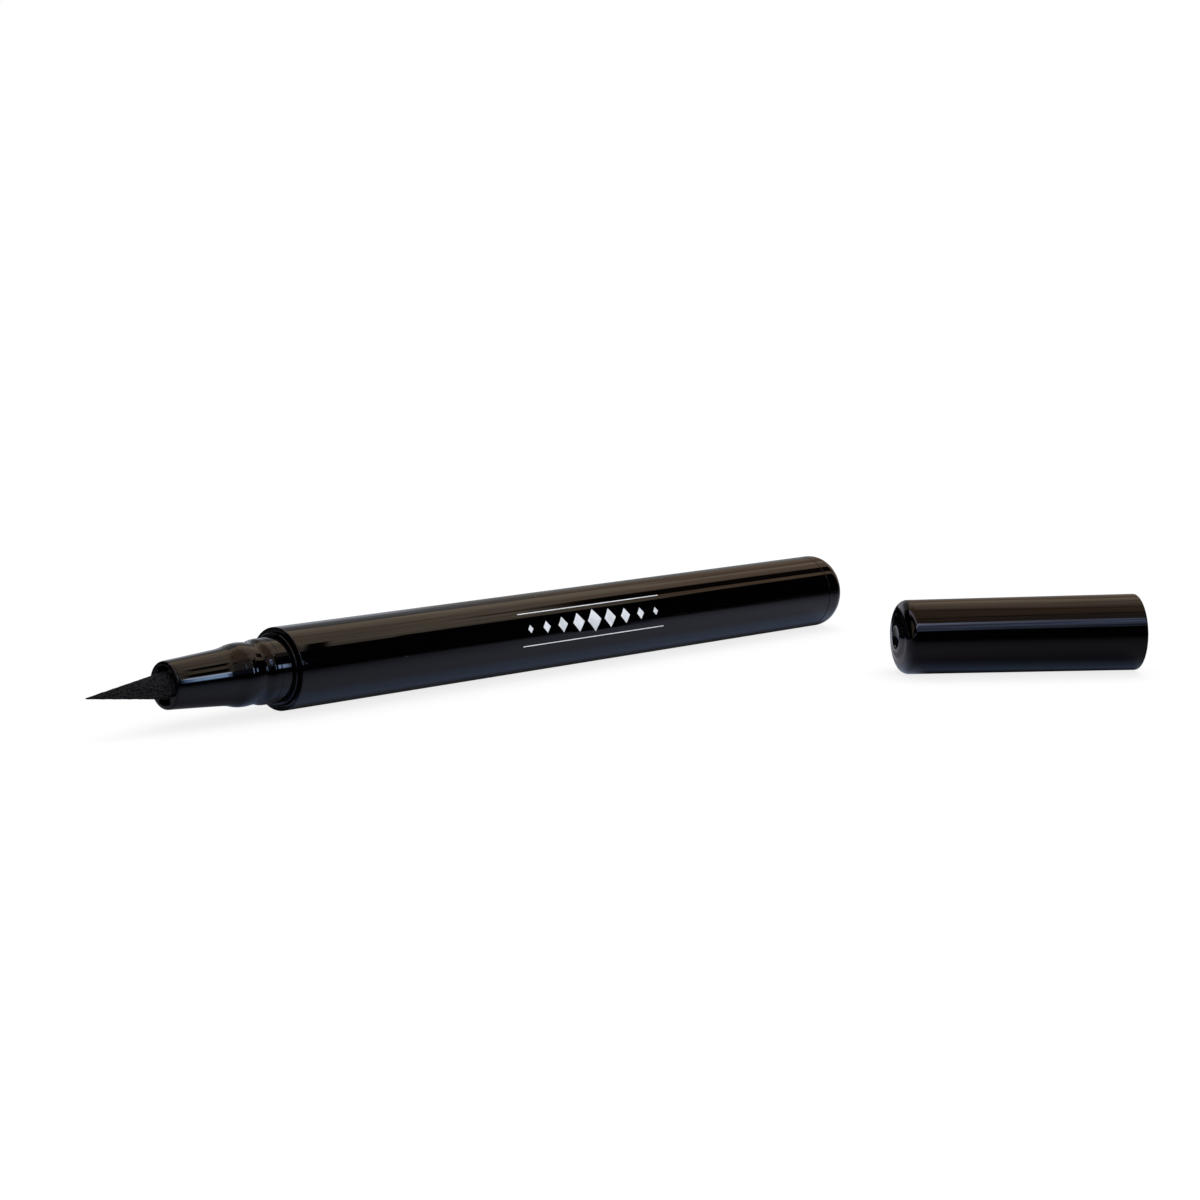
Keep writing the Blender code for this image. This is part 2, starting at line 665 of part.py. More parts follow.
def wire_ring(bm, centre, turn, slope):
    """A ring of the wire's section, square to the coil at that turn."""
    outward = (0, math.sin(turn), math.cos(turn))
    across = (math.cos(slope), -math.sin(slope) * math.cos(turn), math.sin(slope) * math.sin(turn))
    ring = []
    for side in range(WIRE_SIDES):
        angle = FULL_TURN * side / WIRE_SIDES
        out, over = WIRE_RADIUS * math.cos(angle), WIRE_RADIUS * math.sin(angle)
        ring.append(bm.verts.new([c + o * out + a * over for c, o, a in zip(centre, outward, across)]))
    return ring


def frame(name, location, turn, lean):
    """An empty that carries a group of pieces, its x axis along their common axis."""
    empty = bpy.data.objects.new(name, None)
    empty.location = location
    empty.rotation_euler = (0, -lean, turn)
    bpy.context.scene.collection.objects.link(empty)
    return empty


def build():
    clear_scene()
    black = plastic("black_plastic", (0.012, 0.012, 0.014), 0.12)
    liner_grey = plastic("inner_cap_plastic", (0.06, 0.06, 0.065), 0.45)
    white = plastic("collector_plastic", (0.75, 0.75, 0.73), 0.4)
    felt = plastic("nib_felt", (0.03, 0.029, 0.031), 0.95)
    fibre = plastic("relay_fibre", (0.1, 0.1, 0.11), 0.95)
    steel = plastic("steel", (0.6, 0.6, 0.62), 0.25, 1)
    facet_share = math.cos(math.pi / SHELL_SIDES)
    pen = frame("pen_frame", (PEN_X, PEN_Y, BARREL_RADIUS * facet_share), PEN_TURN, 0)
    lean = math.atan2(CAP_MOUTH_RADIUS - CAP_END_RADIUS, CAP_LENGTH / facet_share)
    rest_height = CAP_END_RADIUS * facet_share * math.cos(lean)
    cap = frame("cap_frame", (CAP_X, CAP_Y, rest_height), 0, lean)
    build_barrel(pen, black)
    build_tail_plug(pen, black)
    build_front_section(pen, black)
    build_nib(pen, felt)
    build_ink_collector(pen, white)
    build_relay_core(pen, fibre)
    build_mixing_ball(pen, steel)
    build_cap_shell(cap, black)
    build_inner_cap(cap, liner_grey)
    build_cap_spring(cap, steel)
    bpy.context.view_layer.update()


build()
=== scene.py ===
"""Looks of a felt tip eyeliner pen that lies beside its cap: fine surfaces, finishes, light and camera.

Lengths are in metres. The pen's pieces are drawn along the pen's axis, x = 0 at the barrel's front face and
the nib towards -x. The cap's are drawn along the cap's axis, x = 0 at the closed end and the mouth towards
+x. Both axes are found from the frame, and z is up in both.
"""

import json
import math
from typing import NamedTuple

import bmesh
import bpy
from mathutils import Euler, Matrix, Vector, noise


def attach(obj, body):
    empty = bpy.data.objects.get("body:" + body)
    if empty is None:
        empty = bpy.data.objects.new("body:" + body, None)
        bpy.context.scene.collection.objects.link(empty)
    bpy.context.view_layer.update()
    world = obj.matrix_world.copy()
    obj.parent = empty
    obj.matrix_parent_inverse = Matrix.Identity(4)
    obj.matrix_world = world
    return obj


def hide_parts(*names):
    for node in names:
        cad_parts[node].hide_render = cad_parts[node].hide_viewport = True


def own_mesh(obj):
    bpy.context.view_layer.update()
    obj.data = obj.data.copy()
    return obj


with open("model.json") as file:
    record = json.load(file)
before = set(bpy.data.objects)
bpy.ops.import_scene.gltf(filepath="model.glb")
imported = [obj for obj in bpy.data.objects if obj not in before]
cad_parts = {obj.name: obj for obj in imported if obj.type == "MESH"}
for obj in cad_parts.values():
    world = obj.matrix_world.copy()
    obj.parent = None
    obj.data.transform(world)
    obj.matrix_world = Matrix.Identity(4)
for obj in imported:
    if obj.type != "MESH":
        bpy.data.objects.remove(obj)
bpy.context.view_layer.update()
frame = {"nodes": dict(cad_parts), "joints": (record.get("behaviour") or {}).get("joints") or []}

# How finely the surfaces are made
SHELL_SIDES = 160
MOUTH_SIDES = 240
NIB_SIDES = 120
NIB_RING_GAP = 0.00006
WIRE_SIDES = 14
COIL_STEPS = 48
ROUND_STEPS = 5
DOME_STEPS = 20
SPLINE_STEPS = 14
BEAD_STEPS = 10
HOLD_GAP = 0.00006
HOLD_LEAST_RUN = 4 * HOLD_GAP
SHARP_ANGLE = math.radians(38)
FULL_TURN = 2 * math.pi

# Barrel and tail plug
EDGE_ROUND = 0.00014
SEAM_GAP = 0.0001
FIT_GAP = 0.00008
FRONT_SOCKET_RADIUS = 0.0045
FRONT_SOCKET_DEPTH = 0.0111
COLLAR_REBATE = 0.0001
COLLAR_REBATE_ROUND = COLLAR_REBATE / 3
CHAMBER_RADIUS = 0.0044
TAIL_SOCKET_RADIUS = 0.00455
TAIL_SOCKET_DEPTH = 0.0084
TAIL_SPIGOT_LENGTH = 0.0078
TAIL_SPIGOT_RADIUS = 0.00432
TAIL_BORE_RADIUS = 0.00342
TAIL_BAND = 0.0016
TAIL_DOME_LENGTH = 0.0029
TAIL_FLAT_RADIUS = 0.00145
TAIL_SEAM_ROUND = 0.00006

# Front section. Its outline as (place, radius) goes from behind the mouth to the step of the neck.
NOZZLE_LENGTH = 0.01734
MOUTH_RADIUS = 0.00302
MOUTH_ROUND = 0.0003
MOUTH_EDGE = MOUTH_ROUND / 9
HOLD_RADIUS = 0.00195
CHANNEL_RADIUS = 0.0025
CHANNEL_COUNT = 4
CHANNEL_SWEEP_SHARE = 0.69
CHANNEL_TURN = math.radians(86)
CHANNEL_WALL_ANGLE = math.radians(3)
RIB_END = -0.009026
NOZZLE_BORE_RADIUS = 0.0026
SPIGOT_BORE_RADIUS = 0.003
SPIGOT_BORE_PLACE = 0.0064
SKIRT_BORE_RADIUS = 0.0038
SKIRT_BORE_START = 0.0006
SKIRT_RADIUS = 0.00442
SKIRT_LENGTH = 0.0105
NECK_RADIUS = 0.00427
NECK_STEP = 0.00003
NECK_STEP_ROUND = NECK_STEP / 3
NECK_STEP_PLACE = -0.0022
COLLAR_RADIUS = 0.0047
COLLAR_HEIGHT = 0.00045
NOZZLE_POINTS = (
    (-0.01365, 0.003265),
    (-0.00995, 0.00352),
    (-0.00850, 0.003655),
    (-0.00765, 0.00384),
    (-0.00690, 0.004015),
    (-0.00590, 0.00408),
    (-0.00505, 0.00402),
    (-0.00450, 0.00396),
    (-0.00395, 0.00402),
    (-0.00340, 0.00419),
    (-0.00290, 0.004235),
    (-0.00220, 0.00424),
)

# Nib. Its grain and tufts fade out where it is thinner than the calm radius.
NIB_RADIUS = 0.00185
NIB_REACH = 0.01135
NIB_CONE_SETBACK = 0.0011
NIB_TIP_RADIUS = 0.00007
NIB_BLUNT_RINGS = 3
NIB_CALM_RADIUS = 0.25 * NIB_RADIUS
NIB_LEAN = 0.00019
NIB_TAIL = -0.0025
NIB_GRAIN = 0.000022
NIB_GRAIN_SIZE = 0.00016
NIB_TUFT = 0.000035
NIB_TUFT_SIZE = 0.0007
NIB_SEED = Vector((3.7, 1.3, 8.1))

# Cap
CAP_LENGTH = 0.03479
CAP_MOUTH_RADIUS = 0.00542
CAP_END_RADIUS = 0.00519
CAP_SOLID_SIDES = 40
CAP_FACET_SHARE = math.cos(math.pi / CAP_SOLID_SIDES)
CAP_DOME = 0.0004
CAP_FILLET_RADIAL = 0.00174
CAP_FILLET_AXIAL = 0.00144
CAP_RECESS_RADIUS = 0.00165
CAP_RECESS_DEPTH = 0.00045
CAP_RECESS_LIP = 0.00008
CAP_END_WALL = 0.0012
CAP_BORE_MOUTH = 0.00456
CAP_BORE_DRAFT = 0.00012
CAP_RIM_BORE = 0.00482
CAP_RIM_DEPTH = 0.00055
CAP_RIM_CHAMFER = 0.0003
CAP_RIM_ROUND = EDGE_ROUND / 2
CAP_SNAP_PLACE = 0.03028
CAP_SNAP_RADIUS = 0.00401
CAP_SNAP_WIDTH = 0.0007
RETAINER_PLACE = 0.02718
RETAINER_RADIUS = 0.0042
RETAINER_WIDTH = 0.0006
TICK_COUNT = 40
TICK_INNER = 0.00222
TICK_OUTER = 0.00288
TICK_WIDTH = 0.00009
TICK_HEIGHT = 0.00003

# Inner cap and its spring
LINER_MOUTH = 0.02678
LINER_STEP = 0.01425
LINER_END = 0.0038
LINER_LIP_RADIUS = 0.00364
LINER_LIP_CHAMFER = 0.0003
LINER_BODY_RADIUS = 0.00423
LINER_FLANGE_RADIUS = 0.0044
LINER_FLANGE_LENGTH = 0.0012
LINER_REAR_RADIUS = 0.003287
LINER_REAR_BORE = 0.002887
LINER_STEP_WALL = 0.0006
LINER_END_WALL = 0.0006
LINER_ROUND = 0.00012
LINER_LIP_ROUND = LINER_ROUND / 2
WIRE_RADIUS = 0.0002
SPRING_RADIUS = 0.003794
SPRING_START = 0.0015
SPRING_END = 0.01395
SPRING_TURNS = 7

# Printed ornament on the barrel: lozenges in a row between two rules
PRINT_START = 0.038
PRINT_LENGTH = 0.0275
PRINT_ANGLE = math.radians(17)
PRINT_LOZENGES = 9
PRINT_LOZENGE_SHARE = 0.86
PRINT_COLUMNS = 8
PRINT_LOZENGE_ROWS = 8
PRINT_RULE_ROWS = 2
PRINT_HEIGHT_SHARES = (0.28, 1.0)
PRINT_HALF_HEIGHT = 0.0016
PRINT_RULE_OFFSET = 0.0023
PRINT_RULE_WIDTH = 0.00013
PRINT_THICKNESS = 0.000012
PRINT_CLEARANCE = 0.000002
PRINT_POINT = 0.000012

# Camera, measured from the photograph's seam rings, rims and edges: its turn in degrees, its lens in mm
CAMERA_PLACE = (-0.06821, -0.35191, 0.06589)
CAMERA_TURN = (81.1170, -0.8524, -10.3472)
CAMERA_LENS = 78.3225
CAMERA_CLIP = 0.01


class Turned:
    """The frame of a turned piece: x along its axis, z up, the axis in the middle of the node."""

    def __init__(self, node, axis):
        along = Vector(axis).normalized()
        side = Vector((0, 0, 1)).cross(along).normalized()
        basis = Matrix((along, side, along.cross(side)))
        points = [basis @ vertex.co for vertex in frame["nodes"][node].data.vertices]
        self.low, self.high = ([pick(p[i] for p in points) for i in range(3)] for pick in (min, max))
        self.length = self.high[0] - self.low[0]
        self.radius = (self.high[2] - self.low[2]) / 2
        self.basis = basis.transposed()

    def place(self, start):
        """The matrix that puts a piece drawn from x = 0 at a place along the axis."""
        middle = [(a + b) / 2 for a, b in zip(self.low, self.high)]
        origin = self.basis @ Vector((start, middle[1], middle[2]))
        return Matrix.Translation(origin) @ self.basis.to_4x4()


def joint(name):
    return next(item for item in frame["joints"] if item["name"] == name)


def joint_axis(name):
    return Vector(joint(name)["axis"])


def softened(corners):
    """Points of an outline from corners (x, radius, round), each cut back and bent by its last value."""
    points = []
    for index, (x, radius, size) in enumerate(corners):
        here = Vector((x, radius))
        if not size:
            points.append(here)
            continue
        before = Vector(corners[index - 1][:2])
        after = Vector(corners[(index + 1) % len(corners)][:2])
        start = here + (before - here).normalized() * size
        end = here + (after - here).normalized() * size
        for step in range(ROUND_STEPS + 1):
            share = step / ROUND_STEPS
            points.append(start.lerp(here, share).lerp(here.lerp(end, share), share))
    return points


def held(points, ring):
    """The outline with a point just inside each end of its long runs, so that they shade flat."""
    after = points[1:] + points[:1] if ring else points[1:]
    result = []
    for here, there in zip(points, after):
        result.append(here)
        run = there - here
        if run.length > HOLD_LEAST_RUN:
            result += [here + run.normalized() * HOLD_GAP, there - run.normalized() * HOLD_GAP]
    if not ring:
        result.append(points[-1])
    return result


def smooth_curve(points):
    """A Catmull-Rom curve through points."""
    points = [Vector(point) for point in points]
    result = []
    for index in range(len(points) - 1):
        a = points[max(index - 1, 0)]
        b, c = points[index], points[index + 1]
        d = points[min(index + 2, len(points) - 1)]
        for step in range(SPLINE_STEPS):
            t = step / SPLINE_STEPS
            curve = 2 * b + (c - a) * t + (2 * a - 5 * b + 4 * c - d) * t**2
            result.append((curve + (3 * b - a - 3 * c + d) * t**3) / 2)
    return result + [points[-1]]


def quarter(start, end, along_first):
    """Points of a quarter of an ellipse between two points of an outline, leaving the first one along x
    or along the radius."""
    points = []
    for step in range(DOME_STEPS + 1):
        angle = math.pi / 2 * step / DOME_STEPS
        rise, run = math.sin(angle), 1 - math.cos(angle)
        along, out = (rise, run) if along_first else (run, rise)
        points.append(Vector((start[0] + (end[0] - start[0]) * along, start[1] + (end[1] - start[1]) * out)))
    return points


def bead(place, base, crest, width):
    """A rounded ring or groove on an outline, from its low x side."""
    points = []
    for step in range(BEAD_STEPS + 1):
        share = step / BEAD_STEPS
        swell = (1 - math.cos(FULL_TURN * share)) / 2
        points.append(Vector((place + width * (share - 0.5), base + (crest - base) * swell)))
    return points


def loft(bm, rings, ring):
    """Faces between neighbouring rings of vertices. A ring of one vertex is a pole."""
    pairs = list(zip(rings, rings[1:]))
    if ring:
        pairs.append((rings[-1], rings[0]))
    for near, far in pairs:
        count = max(len(near), len(far))
        for i in range(count):
            j = (i + 1) % count
            corners = [near[i % len(near)], near[j % len(near)], far[j % len(far)], far[i % len(far)]]
            bm.faces.new(list(dict.fromkeys(corners)))


def turned(outline, ring=False):
    """A mesh of an outline turned about x. A ring's outline closes on itself."""
    bm = bmesh.new()
    rings = []
    for x, radius in held(outline, ring):
        count = SHELL_SIDES if radius > 0 else 1
        angles = [FULL_TURN * i / SHELL_SIDES for i in range(count)]
        rings.append([bm.verts.new((x, radius * math.sin(a), radius * math.cos(a))) for a in angles])
    loft(bm, rings, ring)
    return bm


def placed(name, bm, place, material):
    """The mesh as an object with its finish."""
    mesh = bpy.data.meshes.new(name)
    bm.to_mesh(mesh)
    bm.free()
    mesh.materials.append(material)
    thing = bpy.data.objects.new(name, mesh)
    bpy.context.scene.collection.objects.link(thing)
    thing.matrix_world = place
    return thing


def piece(name, bm, place, body, material, stands_for=()):
    """The mesh as a piece on its body, smooth but for its edges, hiding the CAD nodes that it stands for."""
    bmesh.ops.recalc_face_normals(bm, faces=bm.faces)
    thing = placed(name, bm, place, material)
    thing.data.shade_smooth()
    thing.data.set_sharp_from_angle(angle=SHARP_ANGLE)
    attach(thing, body)
    if stands_for:
        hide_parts(*stands_for)
    return thing


WHITE = (1, 1, 1)
NO_LIGHT = (0, 0, 0)


class Graph:
    """A node tree with short calls for the nodes that the materials use."""

    def __init__(self, tree):
        self.tree = tree

    def wire(self, value, socket):
        """Links another node's output to a socket, or sets a plain value on it, a colour without alpha."""
        if isinstance(value, bpy.types.NodeSocket):
            self.tree.links.new(value, socket)
        elif socket.type == "RGBA":
            socket.default_value = (*value, 1)
        else:
            socket.default_value = value

    def calc(self, operation, *values):
        """Result of a Math node."""
        node = self.tree.nodes.new("ShaderNodeMath")
        node.operation = operation
        for value, socket in zip(values, node.inputs):
            self.wire(value, socket)
        return node.outputs[0]

    def vector(self, operation, *values, output="Vector"):
        """Result of a Vector Math node."""
        node = self.tree.nodes.new("ShaderNodeVectorMath")
        node.operation = operation
        for value, socket in zip(values, node.inputs):
            self.wire(value, socket)
        return node.outputs[output]

    def scaled(self, vector, share):
        node = self.tree.nodes.new("ShaderNodeVectorMath")
        node.operation = "SCALE"
        self.wire(vector, node.inputs[0])
        self.wire(share, node.inputs["Scale"])
        return node.outputs[0]

    def coords(self, stretch=(1, 1, 1)):
        """Places on the piece in metres, stretched along each axis."""
        place = self.tree.nodes.new("ShaderNodeTexCoord").outputs["Object"]
        return self.vector("MULTIPLY", place, stretch)

    def noise_at(self, place, scale, detail, roughness):
        node = self.tree.nodes.new("ShaderNodeTexNoise")
        self.wire(place, node.inputs["Vector"])
        node.inputs["Scale"].default_value = scale
        node.inputs["Detail"].default_value = detail
        node.inputs["Roughness"].default_value = roughness
        return node.outputs["Fac"]

    def noise(self, size, stretch=(1, 1, 1), detail=3, roughness=0.5):
        """Noise with features of a size in metres."""
        return self.noise_at(self.coords(stretch), 1 / size, detail, roughness)

    def streaks(self, along, angle, per_metre, per_degree):
        """Noise over a place along the studio and an angle round it."""
        join = self.tree.nodes.new("ShaderNodeCombineXYZ")
        self.wire(self.calc("MULTIPLY", along, per_metre), join.inputs[0])
        self.wire(self.calc("MULTIPLY", angle, per_degree), join.inputs[1])
        return self.noise_at(join.outputs[0], 1, STREAK_DETAIL, STREAK_ROUGHNESS)

    def cells(self, size):
        """Distance to the middle of the nearest cell, and a random value of that cell."""
        node = self.tree.nodes.new("ShaderNodeTexVoronoi")
        self.wire(self.coords(), node.inputs["Vector"])
        node.inputs["Scale"].default_value = 1 / size
        split = self.tree.nodes.new("ShaderNodeSeparateColor")
        self.wire(node.outputs["Color"], split.inputs[0])
        return node.outputs["Distance"], split.outputs[0]

    def remap(self, value, low, high, to_low=0, to_high=1):
        """The value taken smoothly from one range to another, and held beyond its ends."""
        node = self.tree.nodes.new("ShaderNodeMapRange")
        node.interpolation_type = "SMOOTHSTEP"
        for item, socket in zip((value, low, high, to_low, to_high), node.inputs):
            self.wire(item, socket)
        return node.outputs[0]

    def mixed(self, share, first, second):
        """A colour between two."""
        node = self.tree.nodes.new("ShaderNodeMix")
        node.data_type = "RGBA"
        for item, socket in zip((share, first, second), (node.inputs[0], node.inputs[6], node.inputs[7])):
            self.wire(item, socket)
        return node.outputs[2]

    def shader(self, kind, colour=WHITE):
        """The output of a shader of a kind and a colour."""
        node = self.tree.nodes.new(kind)
        self.wire(colour, node.inputs["Color"])
        return node.outputs[0]

    def blended(self, share, first, second):
        """A shader between two."""
        node = self.tree.nodes.new("ShaderNodeMixShader")
        for item, socket in zip((share, first, second), node.inputs):
            self.wire(item, socket)
        return node.outputs[0]

    def bump(self, height):
        """Normals of a surface raised by a height in metres."""
        node = self.tree.nodes.new("ShaderNodeBump")
        node.inputs["Distance"].default_value = 1
        self.wire(height, node.inputs["Height"])
        return node.outputs["Normal"]

    def distance_to_line(self, start, end):
        """Distance on the table from a line between two points."""
        start, end = Vector((*start, 0)), Vector((*end, 0))
        run = end - start
        place = self.vector("SUBTRACT", self.coords((1, 1, 0)), start)
        along = self.vector("DOT_PRODUCT", place, run / run.length_squared, output="Value")
        share = self.calc("MINIMUM", self.calc("MAXIMUM", along, 0), 1)
        return self.vector("DISTANCE", place, self.scaled(run, share), output="Value")

    def seen(self):
        """1 for what the camera sees directly, in gloss or through something clear, 0 for light on things."""
        path = self.tree.nodes.new("ShaderNodeLightPath")
        share = path.outputs["Is Camera Ray"]
        for ray in ("Is Glossy Ray", "Is Transmission Ray"):
            share = self.calc("MAXIMUM", share, path.outputs[ray])
        return share

    def total(self, *values):
        result = values[0]
        for value in values[1:]:
            result = self.calc("ADD", result, value)
        return result


def finish(name, build, **fixed):
    """A material: fixed sockets of its shader by name, and what build(graph) returns for the others."""
    material = bpy.data.materials.new(name)
    material.use_nodes = True
    graph = Graph(material.node_tree)
    shader = material.node_tree.nodes["Principled BSDF"]
    for socket, value in {**fixed, **build(graph)}.items():
        graph.wire(value, shader.inputs[socket.replace("_", " ")])
    return material


class Relief(NamedTuple):
    """Heights of the streaks, waves and fine grain of a glossy surface."""

    streak: float
    wave: float
    grain: float


# Glossy black plastic
DRAWN_RELIEF = Relief(streak=0.0000016, wave=0.000004, grain=0.00000006)
MOULDED_RELIEF = Relief(streak=0.000001, wave=0.000011, grain=0.0000002)
CAP_RELIEF = Relief(streak=0.000005, wave=0.000004, grain=0.0000001)
GLOSS_IOR = 1.4
GLOSS_TINT = (0.82, 0.87, 1.0)
CAP_TINT = (0.66, 0.65, 0.72)
BLACK = (0.0005, 0.0005, 0.0007)
STREAK = dict(size=0.0006, stretch=(0.02, 1, 1), detail=4, roughness=0.6)
WAVE = dict(size=0.005, stretch=(0.6, 1, 1), detail=2)
GLOSS_GRAIN = dict(size=0.0003, detail=2)
SMUDGE = dict(size=0.009, stretch=(0.5, 1, 1), detail=4, roughness=0.6)
SMUDGE_RANGE = (0.35, 0.7)
SMUDGE_ROUGHNESS = (0.016, 0.027)
# Its dust and its hair scratches
DUST = (0.08, 0.085, 0.1)
DUST_SIZE = 0.0009
DUST_SHARE = 0.005
DUST_EDGE = (0.05, 0.16)
DUST_HEIGHT = 0.000004
DUST_ROUGHNESS = 0.5
SCRATCH = dict(size=0.004, stretch=(0.25, 1, 1), detail=2)
SCRATCH_WIDTH = 0.0035
SCRATCH_PATCH = dict(size=0.0068, detail=1)
SCRATCH_PATCH_RANGE = (0.52, 0.62)
SCRATCH_DEPTH = 0.00000015
SCRATCH_ROUGHNESS = 0.05
# Felt nib
FELT_GRAIN = dict(size=0.00017, stretch=(0.8, 1, 1), detail=4, roughness=0.7)
FELT_STRAND = dict(size=0.0001, stretch=(0.12, 1, 1), detail=3, roughness=0.6)
FELT_HUE = dict(size=0.00026, stretch=(0.7, 1, 1), detail=2)
FELT_HUE_RANGE = (0.4, 0.6)
FELT_TONE_RANGE = (0.41, 0.63)
FELT_GRAIN_SHARE = 0.7
FELT_DEEP = (0.0007, 0.0007, 0.001)
FELT_WARM = (0.028, 0.024, 0.023)
FELT_COOL = (0.019, 0.022, 0.03)
FELT_HEIGHT = 0.00005
# Satin plastic
SATIN_MOTTLE = dict(size=0.002)
SATIN_MOTTLE_RANGE = (0.35, 0.65)
SATIN_GRAIN = dict(size=0.00012, roughness=0.7)
SATIN_HEIGHT = 0.000002
SATIN_ROUGHNESS = (0.34, 0.46)
COLLECTOR_WHITES = ((0.68, 0.68, 0.66), (0.8, 0.8, 0.78))
LINER_GREYS = ((0.05, 0.05, 0.055), (0.075, 0.075, 0.08))
# Relay fibres
FIBRE = dict(size=0.00008, stretch=(0.05, 1, 1), roughness=0.6)
FIBRE_RANGE = (0.35, 0.65)
FIBRE_GREYS = ((0.05, 0.05, 0.055), (0.14, 0.14, 0.15))
FIBRE_HEIGHT = 0.00002
# Steel
STEEL_MARK = dict(size=0.00025, detail=4, roughness=0.65)
STEEL_GREYS = ((0.52, 0.52, 0.54), (0.68, 0.68, 0.69))
STEEL_ROUGHNESS = (0.16, 0.32)
STEEL_HEIGHT = 0.0000015
# Printed ink
PRINT_MESH = dict(size=0.00009, roughness=0.7)
PRINT_WEAR = dict(size=0.0016)
PRINT_WEAR_SHARE = 0.5
PRINT_TONE_RANGE = (0.35, 0.6)
PRINT_WHITES = ((0.6, 0.64, 0.7), (0.8, 0.84, 0.9))
PRINT_ROUGHNESS = (0.3, 0.5)
PRINT_HEIGHT = 0.000003
# The middle of a noise's values, and the range of them that the roughness of a fine grain follows
NOISE_MIDDLE = 0.5
GRAIN_RANGE = (0.3, 0.7)


def dust(graph):
    """Sparse specks: 1 inside the few cells of a field that hold one."""
    distance, chance = graph.cells(DUST_SIZE)
    speck = graph.remap(distance, *DUST_EDGE, 1, 0)
    return graph.calc("MULTIPLY", speck, graph.calc("LESS_THAN", chance, DUST_SHARE))


def scratches(graph):
    """Thin lines where a stretched noise passes its middle, in patches."""
    off_middle = graph.calc("ABSOLUTE", graph.calc("SUBTRACT", graph.noise(**SCRATCH), NOISE_MIDDLE))
    line = graph.remap(off_middle, 0, SCRATCH_WIDTH, 1, 0)
    patch = graph.remap(graph.noise(**SCRATCH_PATCH), *SCRATCH_PATCH_RANGE)
    return graph.calc("MULTIPLY", line, patch)


def black_gloss(name, relief, tint=GLOSS_TINT):
    """Glossy black plastic with drawn streaks, moulded waves, a fine grain, hair scratches and dust."""

    def build(graph):
        marks = scratches(graph)
        specks = dust(graph)
        height = graph.total(
            graph.calc("MULTIPLY", graph.noise(**STREAK), relief.streak),
            graph.calc("MULTIPLY", graph.noise(**WAVE), relief.wave),
            graph.calc("MULTIPLY", graph.noise(**GLOSS_GRAIN), relief.grain),
            graph.calc("MULTIPLY", specks, DUST_HEIGHT),
            graph.calc("MULTIPLY", marks, -SCRATCH_DEPTH),
        )
        roughness = graph.total(
            graph.remap(graph.noise(**SMUDGE), *SMUDGE_RANGE, *SMUDGE_ROUGHNESS),
            graph.calc("MULTIPLY", marks, SCRATCH_ROUGHNESS),
            graph.calc("MULTIPLY", specks, DUST_ROUGHNESS),
        )
        return {
            "Base_Color": graph.mixed(specks, BLACK, DUST),
            "Roughness": roughness,
            "Normal": graph.bump(height),
        }

    return finish(name, build, IOR=GLOSS_IOR, Specular_Tint=tint)


def felt_finish():
    """Pressed fibres: a fine mottled grain with short strands along the nib."""

    def build(graph):
        tone = graph.calc(
            "ADD",
            graph.calc("MULTIPLY", graph.noise(**FELT_GRAIN), FELT_GRAIN_SHARE),
            graph.calc("MULTIPLY", graph.noise(**FELT_STRAND), 1 - FELT_GRAIN_SHARE),
        )
        hue = graph.remap(graph.noise(**FELT_HUE), *FELT_HUE_RANGE)
        tuft = graph.mixed(hue, FELT_WARM, FELT_COOL)
        return {
            "Base_Color": graph.mixed(graph.remap(tone, *FELT_TONE_RANGE), FELT_DEEP, tuft),
            "Normal": graph.bump(graph.calc("MULTIPLY", tone, FELT_HEIGHT)),
        }

    return finish("nib_felt", build, Roughness=0.92, Specular_IOR_Level=0.06)


def satin_finish(name, shades):
    """Moulded plastic with faint mottling and a fine spark-eroded grain."""

    def build(graph):
        mottle = graph.remap(graph.noise(**SATIN_MOTTLE), *SATIN_MOTTLE_RANGE)
        fine = graph.noise(**SATIN_GRAIN)
        return {
            "Base_Color": graph.mixed(mottle, *shades),
            "Roughness": graph.remap(fine, *GRAIN_RANGE, *SATIN_ROUGHNESS),
            "Normal": graph.bump(graph.calc("MULTIPLY", fine, SATIN_HEIGHT)),
        }

    return finish(name, build)


def fibre_finish():
    """Bonded fibres along the core, stained by ink."""

    def build(graph):
        strand = graph.noise(**FIBRE)
        return {
            "Base_Color": graph.mixed(graph.remap(strand, *FIBRE_RANGE), *FIBRE_GREYS),
            "Normal": graph.bump(graph.calc("MULTIPLY", strand, FIBRE_HEIGHT)),
        }

    return finish("relay_fibre", build, Roughness=0.95)


def steel_finish():
    """Drawn and polished steel with fine marks."""

    def build(graph):
        mark = graph.noise(**STEEL_MARK)
        return {
            "Base_Color": graph.mixed(mark, *STEEL_GREYS),
            "Roughness": graph.remap(mark, *GRAIN_RANGE, *STEEL_ROUGHNESS),
            "Normal": graph.bump(graph.calc("MULTIPLY", mark, STEEL_HEIGHT)),
        }

    return finish("steel", build, Metallic=1.0)


def print_finish():
    """Silk-screened ink: slightly uneven white with a soft sheen."""

    def build(graph):
        mesh_grain = graph.noise(**PRINT_MESH)
        tone = graph.calc(
            "ADD",
            graph.calc("MULTIPLY", mesh_grain, 1 - PRINT_WEAR_SHARE),
            graph.calc("MULTIPLY", graph.noise(**PRINT_WEAR), PRINT_WEAR_SHARE),
        )
        return {
            "Base_Color": graph.mixed(graph.remap(tone, *PRINT_TONE_RANGE), *PRINT_WHITES),
            "Roughness": graph.remap(mesh_grain, *GRAIN_RANGE, *PRINT_ROUGHNESS),
            "Normal": graph.bump(graph.calc("MULTIPLY", mesh_grain, PRINT_HEIGHT)),
        }

    return finish("white_print", build)


